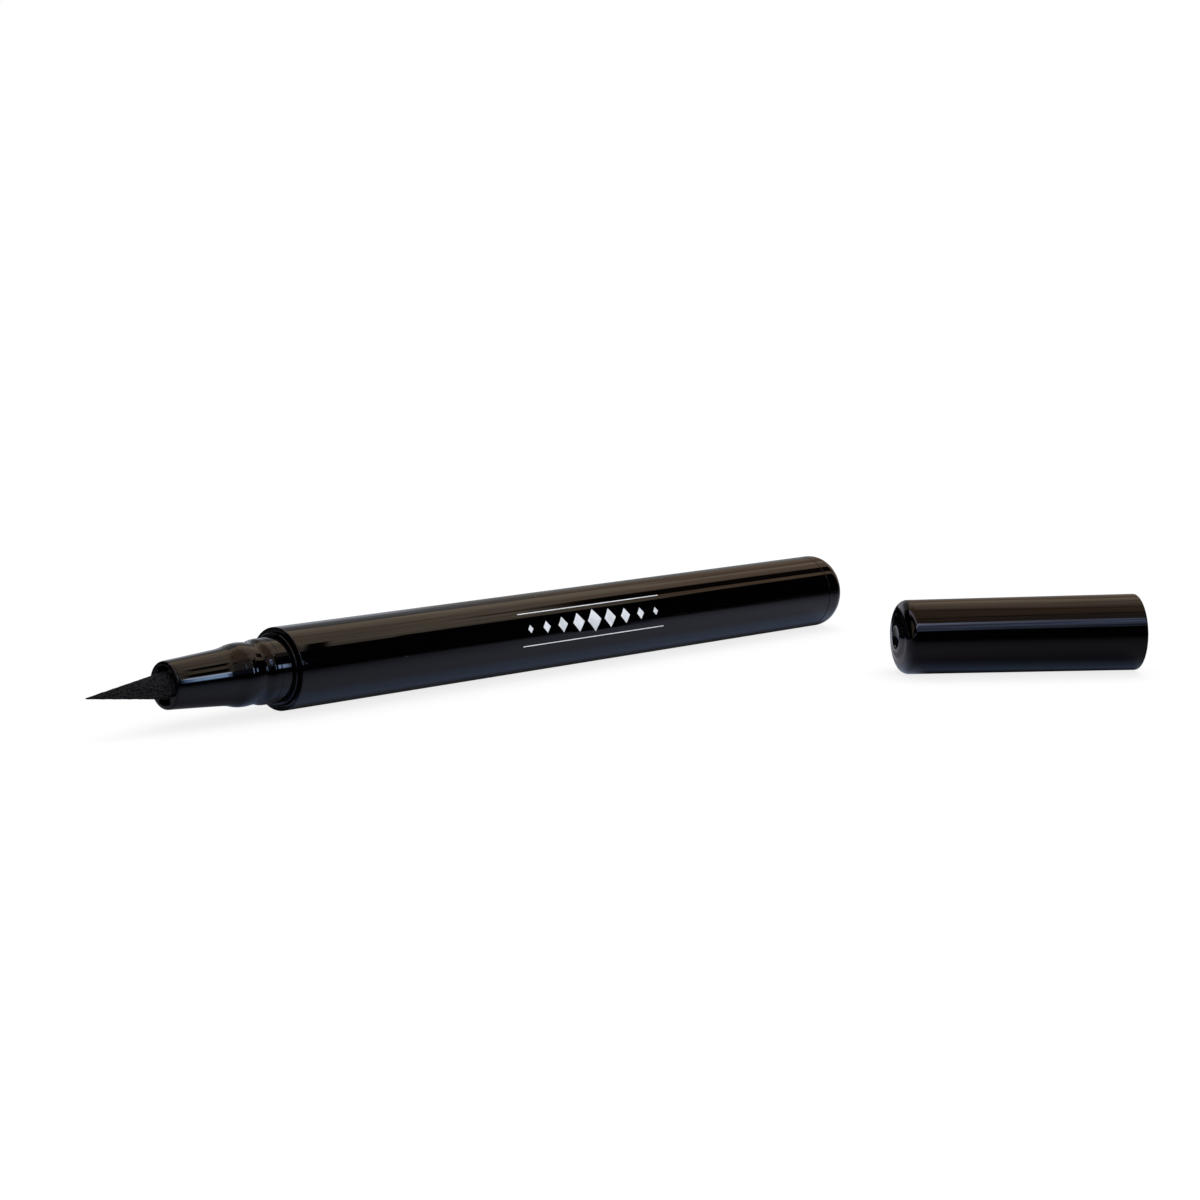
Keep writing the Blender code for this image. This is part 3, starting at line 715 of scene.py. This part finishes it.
def barrel_piece(pen, place, material):
    """Tube with a rebate and socket at the front and a socket at the tail."""
    radius, length = pen.radius, pen.length
    rebate = COLLAR_RADIUS + FIT_GAP
    socket = length - TAIL_SOCKET_DEPTH
    outline = softened((
        (0, radius, EDGE_ROUND),
        (length, radius, TAIL_SEAM_ROUND),
        (length, TAIL_SOCKET_RADIUS, 0),
        (socket, TAIL_SOCKET_RADIUS, 0),
        (socket, CHAMBER_RADIUS, 0),
        (FRONT_SOCKET_DEPTH, CHAMBER_RADIUS, 0),
        (FRONT_SOCKET_DEPTH, FRONT_SOCKET_RADIUS, 0),
        (COLLAR_REBATE, FRONT_SOCKET_RADIUS, 0),
        (COLLAR_REBATE, rebate, 0),
        (0, rebate, COLLAR_REBATE_ROUND),
    ))
    bm = turned(outline, True)
    return piece("barrel_shell", bm, place, "pen", material, ["barrel"])


def tail_piece(pen, place, material):
    """Domed end, its seam edge a little rounded, with the hollow spigot that sits in the barrel."""
    radius, seam = pen.radius, pen.length + SEAM_GAP
    dome = seam + TAIL_BAND
    end = dome + TAIL_DOME_LENGTH
    front = seam - TAIL_SPIGOT_LENGTH
    outline = [Vector((end, 0))]
    outline += reversed(quarter((dome, radius), (end, TAIL_FLAT_RADIUS), True))
    outline += softened((
        (dome, radius, 0),
        (seam, radius, TAIL_SEAM_ROUND),
        (seam, TAIL_SPIGOT_RADIUS, 0),
        (front, TAIL_SPIGOT_RADIUS, EDGE_ROUND),
        (front, TAIL_BORE_RADIUS, 0),
        (dome, TAIL_BORE_RADIUS, 0),
    ))[1:]
    outline.append(Vector((dome, 0)))
    bm = turned(outline)
    return piece("tail_end", bm, place, "pen", material, ["tail_plug"])


def mouth_radius(angle):
    """Radius of the mouth's edge round the nib: four channels between four ribs."""
    pitch = FULL_TURN / CHANNEL_COUNT
    half = pitch * CHANNEL_SWEEP_SHARE / 2
    away = abs((angle - CHANNEL_TURN + pitch / 2) % pitch - pitch / 2)
    share = min(max((half - away) / CHANNEL_WALL_ANGLE + 0.5, 0), 1)
    return HOLD_RADIUS + (CHANNEL_RADIUS - HOLD_RADIUS) * share * share * (3 - 2 * share)


def nozzle_piece(place, material):
    """Nozzle, seal ridge, neck and collar outside; the ribbed mouth, bores and snap skirt inside."""
    collar_front = -COLLAR_HEIGHT
    outer = softened((
        (-NOZZLE_LENGTH, HOLD_RADIUS, 0),
        (-NOZZLE_LENGTH, MOUTH_RADIUS, MOUTH_ROUND),
        (*NOZZLE_POINTS[0], 0),
    ))[1:-1]
    outer += smooth_curve((outer[-1], *NOZZLE_POINTS))[1:]
    outer += softened((
        (NECK_STEP_PLACE, NECK_RADIUS - NECK_STEP, 0),
        (NECK_STEP_PLACE, NECK_RADIUS, NECK_STEP_ROUND),
        (collar_front, NECK_RADIUS, 0),
        (collar_front, COLLAR_RADIUS, EDGE_ROUND),
        (0, COLLAR_RADIUS, 0),
        (0, SKIRT_RADIUS, 0),
        (SKIRT_LENGTH, SKIRT_RADIUS, EDGE_ROUND),
        (SKIRT_LENGTH, SKIRT_BORE_RADIUS, 0),
        (SKIRT_BORE_START, SKIRT_BORE_RADIUS, 0),
        (SKIRT_BORE_START, SPIGOT_BORE_RADIUS, 0),
        (-SPIGOT_BORE_PLACE, SPIGOT_BORE_RADIUS, 0),
        (-SPIGOT_BORE_PLACE, NOZZLE_BORE_RADIUS, 0),
        (RIB_END, NOZZLE_BORE_RADIUS, 0),
    ))[1:]
    angles = [FULL_TURN * i / MOUTH_SIDES for i in range(MOUTH_SIDES)]
    bm = bmesh.new()
    rings = []
    for x, radius in held(outer, False):
        rings.append([bm.verts.new((x, radius * math.sin(a), -radius * math.cos(a))) for a in angles])
    for x, spread in ((RIB_END, 0), (-NOZZLE_LENGTH + MOUTH_EDGE, 0), (-NOZZLE_LENGTH, MOUTH_EDGE)):
        ring = []
        for angle in angles:
            radius = mouth_radius(angle) + spread
            ring.append(bm.verts.new((x, radius * math.sin(angle), -radius * math.cos(angle))))
        rings.append(ring)
    loft(bm, rings, True)
    return piece("nozzle_section", bm, place, "pen", material, ["front_section"])


def nib_piece(place, material):
    """Long cone of pressed fibres, its surface roughened by short tufts and grain."""
    tip = -NOZZLE_LENGTH - NIB_REACH
    cone_start = NIB_CONE_SETBACK - NOZZLE_LENGTH
    shown = round((cone_start - tip) / NIB_RING_GAP)
    outline = [(tip, 0)]
    for step in range(1, shown + 1):
        share = step / shown
        blunt = math.sqrt(1 - max(0, 1 - step / NIB_BLUNT_RINGS) ** 2)
        radius = NIB_TIP_RADIUS * blunt + (NIB_RADIUS - NIB_TIP_RADIUS) * share
        outline.append((tip + (cone_start - tip) * share, radius))
    outline += [(NIB_TAIL, NIB_RADIUS), (NIB_TAIL, 0)]
    bm = bmesh.new()
    rings = []
    for x, radius in outline:
        out_share = min(1, max(0, -NOZZLE_LENGTH - x) / NIB_REACH)
        ring = []
        for i in range(NIB_SIDES if radius else 1):
            angle = FULL_TURN * i / NIB_SIDES
            outward = Vector((0, math.sin(angle), math.cos(angle)))
            point = Vector((x, 0, 0)) + outward * radius
            if out_share and radius:
                swell = NIB_GRAIN * noise.noise(point / NIB_GRAIN_SIZE + NIB_SEED)
                swell += NIB_TUFT * noise.noise(point / NIB_TUFT_SIZE + NIB_SEED)
                point += outward * swell * min(1, radius / NIB_CALM_RADIUS)
            point.z -= NIB_LEAN * out_share
            ring.append(bm.verts.new(point))
        rings.append(ring)
    loft(bm, rings, False)
    return piece("felt_nib", bm, place, "pen", material, ["nib"])


def cap_outer(place):
    """Outside radius of the cap at a place along it."""
    return (CAP_END_RADIUS + (CAP_MOUTH_RADIUS - CAP_END_RADIUS) * place / CAP_LENGTH) * CAP_FACET_SHARE


def cap_bore(place):
    """Inside radius of the cap at a place along it."""
    return CAP_BORE_MOUTH - CAP_BORE_DRAFT * (CAP_LENGTH - place) / CAP_LENGTH


def cap_face(radius):
    """How far the domed end face stands out at a radius."""
    return -CAP_DOME * (1 - (radius / (CAP_END_RADIUS - CAP_FILLET_RADIAL)) ** 2)


def cap_piece(place, material):
    """Tapered cap with a dished recess in its rounded end, a snap bead and a keeping ring in its bore."""
    outline = [Vector((CAP_RECESS_DEPTH - CAP_DOME, 0))]
    for step in range(1, DOME_STEPS):
        share = step / DOME_STEPS
        depth = CAP_RECESS_DEPTH * math.sqrt(1 - share**2)
        outline.append(Vector((depth - CAP_DOME, (CAP_RECESS_RADIUS - CAP_RECESS_LIP) * share)))
    fillet_radius = CAP_END_RADIUS - CAP_FILLET_RADIAL
    for step in range(DOME_STEPS):
        radius = CAP_RECESS_RADIUS + (fillet_radius - CAP_RECESS_RADIUS) * step / DOME_STEPS
        outline.append(Vector((cap_face(radius), radius)))
    outline += quarter((0, fillet_radius), (CAP_FILLET_AXIAL, cap_outer(CAP_FILLET_AXIAL)), False)
    mouth = CAP_LENGTH - CAP_RIM_DEPTH
    outline += softened((
        (CAP_FILLET_AXIAL, cap_outer(CAP_FILLET_AXIAL), 0),
        (CAP_LENGTH, cap_outer(CAP_LENGTH), EDGE_ROUND),
        (CAP_LENGTH, CAP_RIM_BORE, CAP_RIM_ROUND),
        (mouth, CAP_RIM_BORE, 0),
        (mouth - CAP_RIM_CHAMFER, cap_bore(mouth), 0),
    ))[1:]
    snap_base, ring_base = cap_bore(CAP_SNAP_PLACE), cap_bore(RETAINER_PLACE)
    outline += reversed(bead(CAP_SNAP_PLACE, snap_base, CAP_SNAP_RADIUS, CAP_SNAP_WIDTH))
    outline += reversed(bead(RETAINER_PLACE, ring_base, RETAINER_RADIUS, RETAINER_WIDTH))
    outline += [
        Vector((CAP_END_WALL + EDGE_ROUND, cap_bore(CAP_END_WALL))),
        Vector((CAP_END_WALL, cap_bore(CAP_END_WALL) - EDGE_ROUND)),
        Vector((CAP_END_WALL, 0)),
    ]
    bm = turned(outline)
    return piece("cap_body", bm, place, "cap", material, ["cap_shell"])


def film(bm, spot, columns, rows, lifts):
    """A thin patch between two heights, with its edges. spot(along, across, lift) gives its vertices for
    shares from 0 to 1."""
    rims = []
    for lift in lifts:
        lines = []
        for column in range(columns + 1):
            lines.append([bm.verts.new(spot(column / columns, row / rows, lift)) for row in range(rows + 1)])
        for near, far in zip(lines, lines[1:]):
            for row in range(rows):
                bm.faces.new((near[row], near[row + 1], far[row + 1], far[row]))
        sides = [line[-1] for line in lines[1:-1]], [line[0] for line in lines[-2:0:-1]]
        rims.append(lines[0] + sides[0] + lines[-1][::-1] + sides[1])
    low, high = rims
    for i in range(len(low)):
        bm.faces.new((low[i - 1], low[i], high[i], high[i - 1]))


def tick_piece(place, material):
    """A ring of fine moulded ticks round the recess in the cap's closed end."""
    bm = bmesh.new()
    for tick in range(TICK_COUNT):
        angle = FULL_TURN * tick / TICK_COUNT

        def spot(along, across, lift):
            radius = TICK_INNER + (TICK_OUTER - TICK_INNER) * along
            turn = angle + (across - 0.5) * TICK_WIDTH / radius
            return cap_face(radius) - lift, radius * math.sin(turn), radius * math.cos(turn)

        film(bm, spot, 1, 1, (PRINT_CLEARANCE, TICK_HEIGHT))
    return piece("cap_end_ticks", bm, place, "cap", material)


def liner_piece(place, material):
    """Stepped inner cup with a flange, its lip chamfered to meet the nozzle."""
    flange = LINER_MOUTH - LINER_FLANGE_LENGTH
    inner_step = LINER_STEP + LINER_STEP_WALL
    outline = [Vector((LINER_END, 0))]
    outline += softened((
        (LINER_END, 0, 0),
        (LINER_END, LINER_REAR_RADIUS, LINER_ROUND),
        (LINER_STEP, LINER_REAR_RADIUS, 0),
        (LINER_STEP, LINER_BODY_RADIUS, LINER_ROUND),
        (flange, LINER_BODY_RADIUS, 0),
        (flange, LINER_FLANGE_RADIUS, 0),
        (LINER_MOUTH, LINER_FLANGE_RADIUS, LINER_LIP_ROUND),
        (LINER_MOUTH, LINER_LIP_RADIUS + LINER_LIP_CHAMFER, LINER_LIP_ROUND),
        (LINER_MOUTH - LINER_LIP_CHAMFER, LINER_LIP_RADIUS, LINER_LIP_ROUND),
        (inner_step, LINER_LIP_RADIUS, 0),
        (inner_step, LINER_REAR_BORE, LINER_ROUND),
        (LINER_END + LINER_END_WALL, LINER_REAR_BORE, 0),
    ))[1:]
    outline.append(Vector((LINER_END + LINER_END_WALL, 0)))
    bm = turned(outline)
    return piece("liner_cup", bm, place, "inner_cap", material, ["inner_cap"])


def spring_piece(place, material):
    """Coil of round wire with flat ends."""
    steps = SPRING_TURNS * COIL_STEPS
    rise = SPRING_END - SPRING_START
    slope = math.atan2(rise, FULL_TURN * SPRING_TURNS * SPRING_RADIUS)
    bm = bmesh.new()
    rings = []
    for step in range(steps + 1):
        turn = FULL_TURN * step / COIL_STEPS
        outward = Vector((0, math.sin(turn), math.cos(turn)))
        level = math.cos(slope)
        forward = Vector((math.sin(slope), level * math.cos(turn), -level * math.sin(turn)))
        across = outward.cross(forward)
        centre = outward * SPRING_RADIUS + Vector((SPRING_START + rise * step / steps, 0, 0))
        ring = []
        for side in range(WIRE_SIDES):
            angle = FULL_TURN * side / WIRE_SIDES
            offset = outward * math.cos(angle) + across * math.sin(angle)
            ring.append(bm.verts.new(centre + offset * WIRE_RADIUS))
        if step in (0, steps):
            bm.faces.new(ring)
        rings.append(ring)
    loft(bm, rings, False)
    return piece("coil_spring", bm, place, "cap", material, ["cap_spring"])


def printed_patch(bm, radius, start, end, angle, half_height, rows):
    """A film on the barrel between two places along it. half_height(share) gives its half width round the
    barrel, from 0 to 1 along it."""

    def spot(along, across, lift):
        turn = angle + half_height(along) * (2 * across - 1) / radius
        far = radius + lift
        return start + (end - start) * along, -far * math.cos(turn), far * math.sin(turn)

    film(bm, spot, PRINT_COLUMNS, rows, (PRINT_CLEARANCE, PRINT_THICKNESS))


def print_piece(radius, place, material):
    """Plain ornament: a row of lozenges, larger to the middle, between two fine rules."""
    bm = bmesh.new()
    pitch = PRINT_LENGTH / PRINT_LOZENGES
    least, most = PRINT_HEIGHT_SHARES
    for index in range(PRINT_LOZENGES):
        middle = PRINT_START + pitch * (index + 0.5)
        near_middle = 1 - abs(2 * (index + 0.5) / PRINT_LOZENGES - 1)
        size = least + (most - least) * near_middle
        reach = pitch / 2 * PRINT_LOZENGE_SHARE * size

        def lozenge(share, tall=PRINT_HALF_HEIGHT * size):
            return max(PRINT_POINT, tall * (1 - abs(2 * share - 1)))

        printed_patch(bm, radius, middle - reach, middle + reach, PRINT_ANGLE, lozenge, PRINT_LOZENGE_ROWS)
    for side in (-1, 1):
        angle = PRINT_ANGLE + side * PRINT_RULE_OFFSET / radius
        end = PRINT_START + PRINT_LENGTH
        half = PRINT_RULE_WIDTH / 2
        printed_patch(bm, radius, PRINT_START, end, angle, lambda share: half, PRINT_RULE_ROWS)
    return piece("printed_ornament", bm, place, "pen", material)


def dress_inside():
    """Finishes of the CAD nodes that stay."""
    finishes = {
        "ink_collector": satin_finish("collector_white", COLLECTOR_WHITES),
        "relay_core": fibre_finish(),
        "mixing_ball": steel_finish(),
    }
    for node, material in finishes.items():
        for holder in frame["nodes"][node].material_slots:
            holder.material = material


def build_pen():
    pen = Turned("barrel", joint_axis("ball_slide"))
    place = pen.place(pen.low[0])
    drawn = black_gloss("black_drawn", DRAWN_RELIEF)
    moulded = black_gloss("black_moulded", MOULDED_RELIEF)
    barrel_piece(pen, place, drawn)
    tail_piece(pen, place, drawn)
    nozzle_piece(place, moulded)
    nib_piece(place, felt_finish())
    print_piece(pen.radius, place, print_finish())


def build_cap():
    cap = Turned("cap_shell", -joint_axis("inner_cap_slide"))
    place = cap.place(cap.high[0] - CAP_LENGTH)
    shell = black_gloss("black_cap", CAP_RELIEF, CAP_TINT)
    cap_piece(place, shell)
    tick_piece(place, shell)
    liner_piece(place, satin_finish("liner_grey", LINER_GREYS))
    spring = spring_piece(place, steel_finish())
    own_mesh(spring)


class Card(NamedTuple):
    """A card of the studio that reflections see: its low and high angle above the table on the camera's
    side, its start and end along the pen's axis, its colour, the softness of its edges in degrees and in
    metres, and how strongly streaks darken and brighten it."""

    low: float
    high: float
    start: float
    end: float
    colour: tuple
    soft: float = 1.5
    fade: float = 0.02
    streaks: float = 0


# The studio round the pen, painted light and shade that only reflections see; a card named after a part of
# the pen paints the light or shade reflected on that part. A later card covers an earlier one.
TENT_RADIUS = 0.8
TENT_START = -1.0
TENT_END = 2.2
TENT_STEPS = 60
# Fine and coarse streaks of the cards: how many per metre and per degree, and which values they spread
STREAK_DETAIL = 4
STREAK_ROUGHNESS = 0.7
FINE_STREAKS = (9, 0.28)
FINE_RANGE = (0.3, 0.7)
FINE_LEVELS = (0.72, 1.22)
COARSE_STREAKS = (7, 0.2)
COARSE_RANGE = (0.36, 0.64)
TENT_CARDS = {
    "end_card": Card(56, 118, -4, -0.78, (0.95, 0.74, 0.54), 6, 0.12),
    "end_card_dip": Card(80, 92, -4, -0.78, (0.5, 0.38, 0.28), 5, 0.12),
    "end_window": Card(22, 34, -4, -0.78, (1.1, 1.3, 1.7), 3, 0.12),
    "rear_card": Card(122, 181, -0.12, 4, (0.36, 0.35, 0.35), 4, 0.05),
    "rear_card_tail": Card(126, 152, 0.7, 4, (0.42, 0.32, 0.23), 5, 0.08),
    "rear_sky": Card(150, 181, 0.4, 0.64, (0.62, 0.66, 0.74), 8, 0.04),
    "rear_window": Card(150, 181, -0.06, 0.36, (1.05, 1.08, 1.2), 12, 0.04),
    "softbox_back": Card(122, 137, 0.33, 0.5, (0.8, 0.62, 0.43), 5, 0.03),
    "softbox_dim": Card(60, 124, -0.42, 0.4, (0.84, 0.54, 0.33), 2, 0.04),
    "softbox_dim_dip": Card(74, 88, 0.24, 0.38, (0.62, 0.37, 0.21), 3, 0.03),
    "softbox_dim_edge": Card(42, 61, -0.42, 0.2, (0.65, 0.45, 0.3), 3, 0.04),
    "door": Card(28, 58, 0.03, 0.36, (0.45, 0.36, 0.3), 2.5),
    "door_foot": Card(13, 29, 0.03, 0.36, (0.1, 0.12, 0.18), 2),
    "softbox_low": Card(26, 62, 0.33, 0.385, (0.78, 0.6, 0.44), 1.5, 0.006),
    "softbox_low_bright": Card(44, 58, 0.357, 0.385, (1.3, 0.92, 0.62), 2, 0.004),
    "softbox": Card(57.4, 128, 0.35, 4, (1.15, 0.88, 0.62), 1.2, 0.05),
    "softbox_glow": Card(61, 83, 0.36, 0.73, (1.33, 1.02, 0.71), 4, 0.03),
    "softbox_top": Card(103, 128, 0.5, 0.84, (1.15, 0.9, 0.64), 3, 0.05),
    "softbox_dip": Card(92, 105, 0.5, 0.84, (0.95, 0.7, 0.5), 4, 0.05),
    "nozzle_dip": Card(78, 87, 0.33, 0.45, (0.95, 0.68, 0.48), 3),
    "groove_top": Card(104, 126, 0.06, 0.36, (1.25, 0.96, 0.67), 4, 0.03),
    "softbox_tail": Card(58, 112, 0.8, 4, (0.92, 0.64, 0.44), 2, 0.08),
    "tail_top": Card(113, 150, 0.8, 4, (0.49, 0.34, 0.24), 8, 0.08),
    "softbox_foot": Card(51, 63, 0.5575, 0.562, (1.05, 0.78, 0.53), 1.5, 0.0015),
    "softbox_front": Card(54.7, 61, 0.577, 0.625, (1.2, 0.92, 0.65), 1.5, 0.004),
    "tail_strip": Card(61, 72, 0.82, 4, (1.08, 0.68, 0.4), 2, 0.05),
    "tail_shade": Card(50, 61.5, 0.835, 4, NO_LIGHT, 1.2, 0.04),
    "seam_start": Card(81, 86, 0.67, 0.8, (0.3, 0.2, 0.13), 1.5),
    "seam": Card(70.5, 92, 0.735, 4, (0.03, 0.013, 0.008), 2.5, 0.03),
    "flag": Card(50, 71.5, 0.562, 0.577, NO_LIGHT, 1.2, 0.0015),
    "neck_card": Card(53.5, 69.5, 0.49, 0.557, (0.07, 0.05, 0.04), 1.5, 0.003),
    "neck_card_warm": Card(54, 68, 0.519, 0.557, (0.22, 0.17, 0.16), 2, 0.002),
    "neck_line": Card(48.5, 54, 0.5, 0.53, (0.55, 0.38, 0.28), 1.5, 0.003),
    "bar_high": Card(56, 68.5, 0.3595, 0.38, NO_LIGHT, 2, 0.003),
    "bar_low": Card(31.5, 45, 0.3525, 0.38, NO_LIGHT, 2, 0.003),
    "window_left": Card(8, 27, 0.3495, 0.375, (2.6, 4.2, 6.8), 8, 0.003, 0.3),
    "window_left_low": Card(9, 26, 0.3545, 0.375, (7.0, 9.8, 13.2), 7, 0.003, 0.3),
    "window_left_head": Card(22, 30, 0.3495, 0.375, (9.0, 10.0, 12.0), 3, 0.003),
    "window_neck": Card(12, 28, 0.463, 0.555, (1.8, 2.5, 3.8), 4, 0.0015),
    "window_neck_bright": Card(13, 28, 0.508, 0.555, (4.6, 6.0, 8.0), 3, 0.003),
    "window_right": Card(24.5, 47, -0.45, 0.03, (0.8, 1.02, 1.45), 3, 0.02, 0.5),
    "window_right_low": Card(24.5, 34, -0.12, 0.03, (0.66, 0.8, 1.1), 3, 0.02, 0.6),
    "window_right_high": Card(33, 47.5, -0.45, 0.03, (1.5, 1.8, 2.7), 4, 0.02, 0.5),
    "window_right_head": Card(40.5, 48, -0.45, -0.03, (5.2, 5.9, 7.6), 2, 0.08, 0.3),
    "left_edge": Card(46, 124, -0.34, -0.12, (2.7, 2.4, 2.8), 3, 0.03),
}


def stage_piece(name, bm, place, shader):
    """The mesh as a part of the studio, which isn't part of the object, with what shader(graph) returns."""
    material = bpy.data.materials.new(name)
    material.use_nodes = True
    graph = Graph(material.node_tree)
    graph.tree.nodes.clear()
    output = graph.tree.nodes.new("ShaderNodeOutputMaterial")
    graph.wire(shader(graph), output.inputs["Surface"])
    thing = placed(name, bm, place, material)
    return thing


def only_reflected(thing):
    """Hides a part of the studio from all but what the gloss shows."""
    thing.visible_camera = False
    thing.visible_diffuse = False
    thing.visible_transmission = False
    thing.visible_shadow = False


def tent_shader(graph):
    """The cards' light by the place along the studio and the angle above the table."""
    split = graph.tree.nodes.new("ShaderNodeSeparateXYZ")
    graph.wire(graph.coords(), split.inputs[0])
    along, side, up = split.outputs
    angle = graph.calc("DEGREES", graph.calc("ARCTAN2", up, graph.calc("MULTIPLY", side, -1)))
    fine = graph.streaks(along, angle, *FINE_STREAKS)
    coarse = graph.streaks(along, angle, *COARSE_STREAKS)
    colour = NO_LIGHT
    for card in TENT_CARDS.values():
        above = graph.remap(angle, card.low, card.low + card.soft)
        mask = graph.calc("MULTIPLY", above, graph.remap(angle, card.high - card.soft, card.high, 1, 0))
        for edge, shown in ((card.start, (0, 1)), (card.end, (1, 0))):
            inside = graph.remap(along, edge - card.fade, edge + card.fade, *shown)
            mask = graph.calc("MULTIPLY", mask, inside)
        shade = card.colour
        if card.streaks:
            level = graph.remap(coarse, *COARSE_RANGE, 1 - card.streaks, 1 + card.streaks)
            shade = graph.scaled(card.colour, level)
        colour = graph.mixed(mask, colour, shade)
    colour = graph.scaled(colour, graph.remap(fine, *FINE_RANGE, *FINE_LEVELS))
    return graph.shader("ShaderNodeEmission", colour)


def tent(place):
    """Half a tube round the pen's axis that only reflections see: softboxes, cards and windows."""
    bm = bmesh.new()
    rings = []
    for x in (TENT_START, TENT_END):
        ring = []
        for step in range(TENT_STEPS + 1):
            angle = math.pi * step / TENT_STEPS
            ring.append(bm.verts.new((x, -TENT_RADIUS * math.cos(angle), TENT_RADIUS * math.sin(angle))))
        rings.append(ring)
    for i in range(TENT_STEPS):
        bm.faces.new((rings[0][i], rings[0][i + 1], rings[1][i + 1], rings[1][i]))
    for ring in rings:
        bm.faces.new(ring)
    only_reflected(stage_piece("studio_tent", bm, place, tent_shader))


# Floor, world and lamp
FLOOR_RADIUS = 0.9
FLOOR_FADE = 0.4
FLOOR_COLOUR = (0.94, 0.94, 0.94)
DISC_SIDES = 96
FLOOR_GLOW_SHARE = 0.8
WORLD_LIGHT = 0.75
LAMP_PLACE = (0.25, 0.35, 0.9)
LAMP_SIZE = 0.8
LAMP_POWER = 6.0


def disc():
    """A round sheet as large as the floor."""
    bm = bmesh.new()
    bmesh.ops.create_circle(bm, cap_ends=True, segments=DISC_SIDES, radius=FLOOR_RADIUS)
    return bm


def floor_shader(graph):
    """Pale table that fades into the white background. Its glow is for what is seen of it only."""
    lit = graph.shader("ShaderNodeBsdfDiffuse", FLOOR_COLOUR)
    glow_share = graph.calc("MULTIPLY", graph.seen(), FLOOR_GLOW_SHARE)
    table = graph.blended(glow_share, lit, graph.shader("ShaderNodeEmission"))
    faded = graph.remap(graph.vector("LENGTH", graph.coords(), output="Value"), FLOOR_FADE, FLOOR_RADIUS)
    return graph.blended(faded, table, graph.shader("ShaderNodeBsdfTransparent"))


# What the gloss shows of the table, painted light: its grey painted brighter near the pieces, a glowing blue
# band of painted light at their feet, and glowing spots of painted light
TABLE_COLOUR = (0.5, 0.5, 0.57)
TABLE_FOOT_GLOW = (0.1, 0.16, 0.28)
TABLE_FOOT_RISE = (0.0022, 0.0038)
TABLE_FOOT_FALL = (0.0046, 0.0078)
TABLE_HEIGHT = 0.00005
TABLE_REACH = 0.026
TABLE_CAP_SHARE = 0.5
TABLE_CAP_NARROW = 1.4
# Glowing spots of painted light beside the cap's closed end: place, reach and colour
TABLE_GLOW_SPOTS = (
    ((0.034, -0.008, 0), 0.009, (0.26, 0.28, 0.34)),
    ((0.0375, -0.0078, 0), 0.0045, (0.48, 0.6, 0.82)),
)
PEN_ENDS = ((-0.0491, -0.0236), (0.0388, 0.0368))
CAP_ENDS = ((0.0379, -0.0068), (0.0728, -0.0065))


def table_shader(graph):
    """Grey painted brighter near the pieces and darker away from them, with the painted glow of the bands and
    the spots.
    """
    gaps = [graph.distance_to_line(*ends) for ends in (PEN_ENDS, CAP_ENDS)]
    # Painted light: the grey is brighter near the pen, and half as much near the cap, falling off with
    # distance
    levels = []
    for gap in gaps:
        away = graph.calc("DIVIDE", gap, TABLE_REACH)
        levels.append(graph.calc("DIVIDE", 1, graph.calc("ADD", 1, graph.calc("MULTIPLY", away, away))))
    level = graph.calc("ADD", levels[0], graph.calc("MULTIPLY", levels[1], TABLE_CAP_SHARE))
    # Painted light: a blue glow in a band a few millimetres from the pen and the cap
    bands = []
    for gap, narrow in zip(gaps, (1, TABLE_CAP_NARROW)):
        wide = graph.calc("MULTIPLY", gap, narrow)
        fall = graph.remap(wide, *TABLE_FOOT_FALL, 1, 0)
        bands.append(graph.calc("MULTIPLY", graph.remap(wide, *TABLE_FOOT_RISE), fall))
    glow = graph.mixed(graph.calc("MAXIMUM", *bands), NO_LIGHT, TABLE_FOOT_GLOW)
    # Painted light: glowing spots beside the cap's closed end
    for middle, reach, shade in TABLE_GLOW_SPOTS:
        away = graph.vector("DISTANCE", graph.coords(), middle, output="Value")
        glow = graph.mixed(graph.remap(away, 0, reach, 1, 0), glow, shade)
    both = graph.tree.nodes.new("ShaderNodeAddShader")
    lit = graph.shader("ShaderNodeBsdfDiffuse", graph.mixed(level, NO_LIGHT, TABLE_COLOUR))
    graph.wire(lit, both.inputs[0])
    graph.wire(graph.shader("ShaderNodeEmission", glow), both.inputs[1])
    return both.outputs[0]


def table():
    """The floor, and just above it a card that only reflections see: what the gloss shows of the table."""
    stage_piece("floor", disc(), Matrix.Identity(4), floor_shader)
    raised = Matrix.Translation((0, 0, TABLE_HEIGHT))
    only_reflected(stage_piece("table_card", disc(), raised, table_shader))


def light():
    """White surroundings for what is seen directly or in gloss, softer for the light on the object."""
    world = bpy.data.worlds.new("studio")
    bpy.context.scene.world = world
    world.use_nodes = True
    graph = Graph(world.node_tree)
    background = graph.tree.nodes["Background"]
    graph.wire(WHITE, background.inputs["Color"])
    graph.wire(graph.remap(graph.seen(), 0, 1, WORLD_LIGHT, 1), background.inputs["Strength"])
    lamp = bpy.data.lights.new("overhead", "AREA")
    lamp.shape = "SQUARE"
    lamp.size = LAMP_SIZE
    lamp.energy = LAMP_POWER
    holder = bpy.data.objects.new("overhead", lamp)
    bpy.context.scene.collection.objects.link(holder)
    holder.location = LAMP_PLACE
    holder.rotation_euler = (-Vector(LAMP_PLACE)).to_track_quat("-Z", "Y").to_euler()
    holder.visible_glossy = False


def camera():
    data = bpy.data.cameras.new("camera")
    data.lens = CAMERA_LENS
    data.clip_start = CAMERA_CLIP
    holder = bpy.data.objects.new("camera", data)
    bpy.context.scene.collection.objects.link(holder)
    holder.location = CAMERA_PLACE
    holder.rotation_euler = Euler([math.radians(turn) for turn in CAMERA_TURN])
    bpy.context.scene.camera = holder


build_pen()
build_cap()
dress_inside()
pen_axis = joint_axis("ball_slide")
tent(Matrix((pen_axis, Vector((0, 0, 1)).cross(pen_axis), (0, 0, 1))).transposed().to_4x4())
table()
light()
camera()
bpy.context.scene.view_settings.view_transform = "Standard"
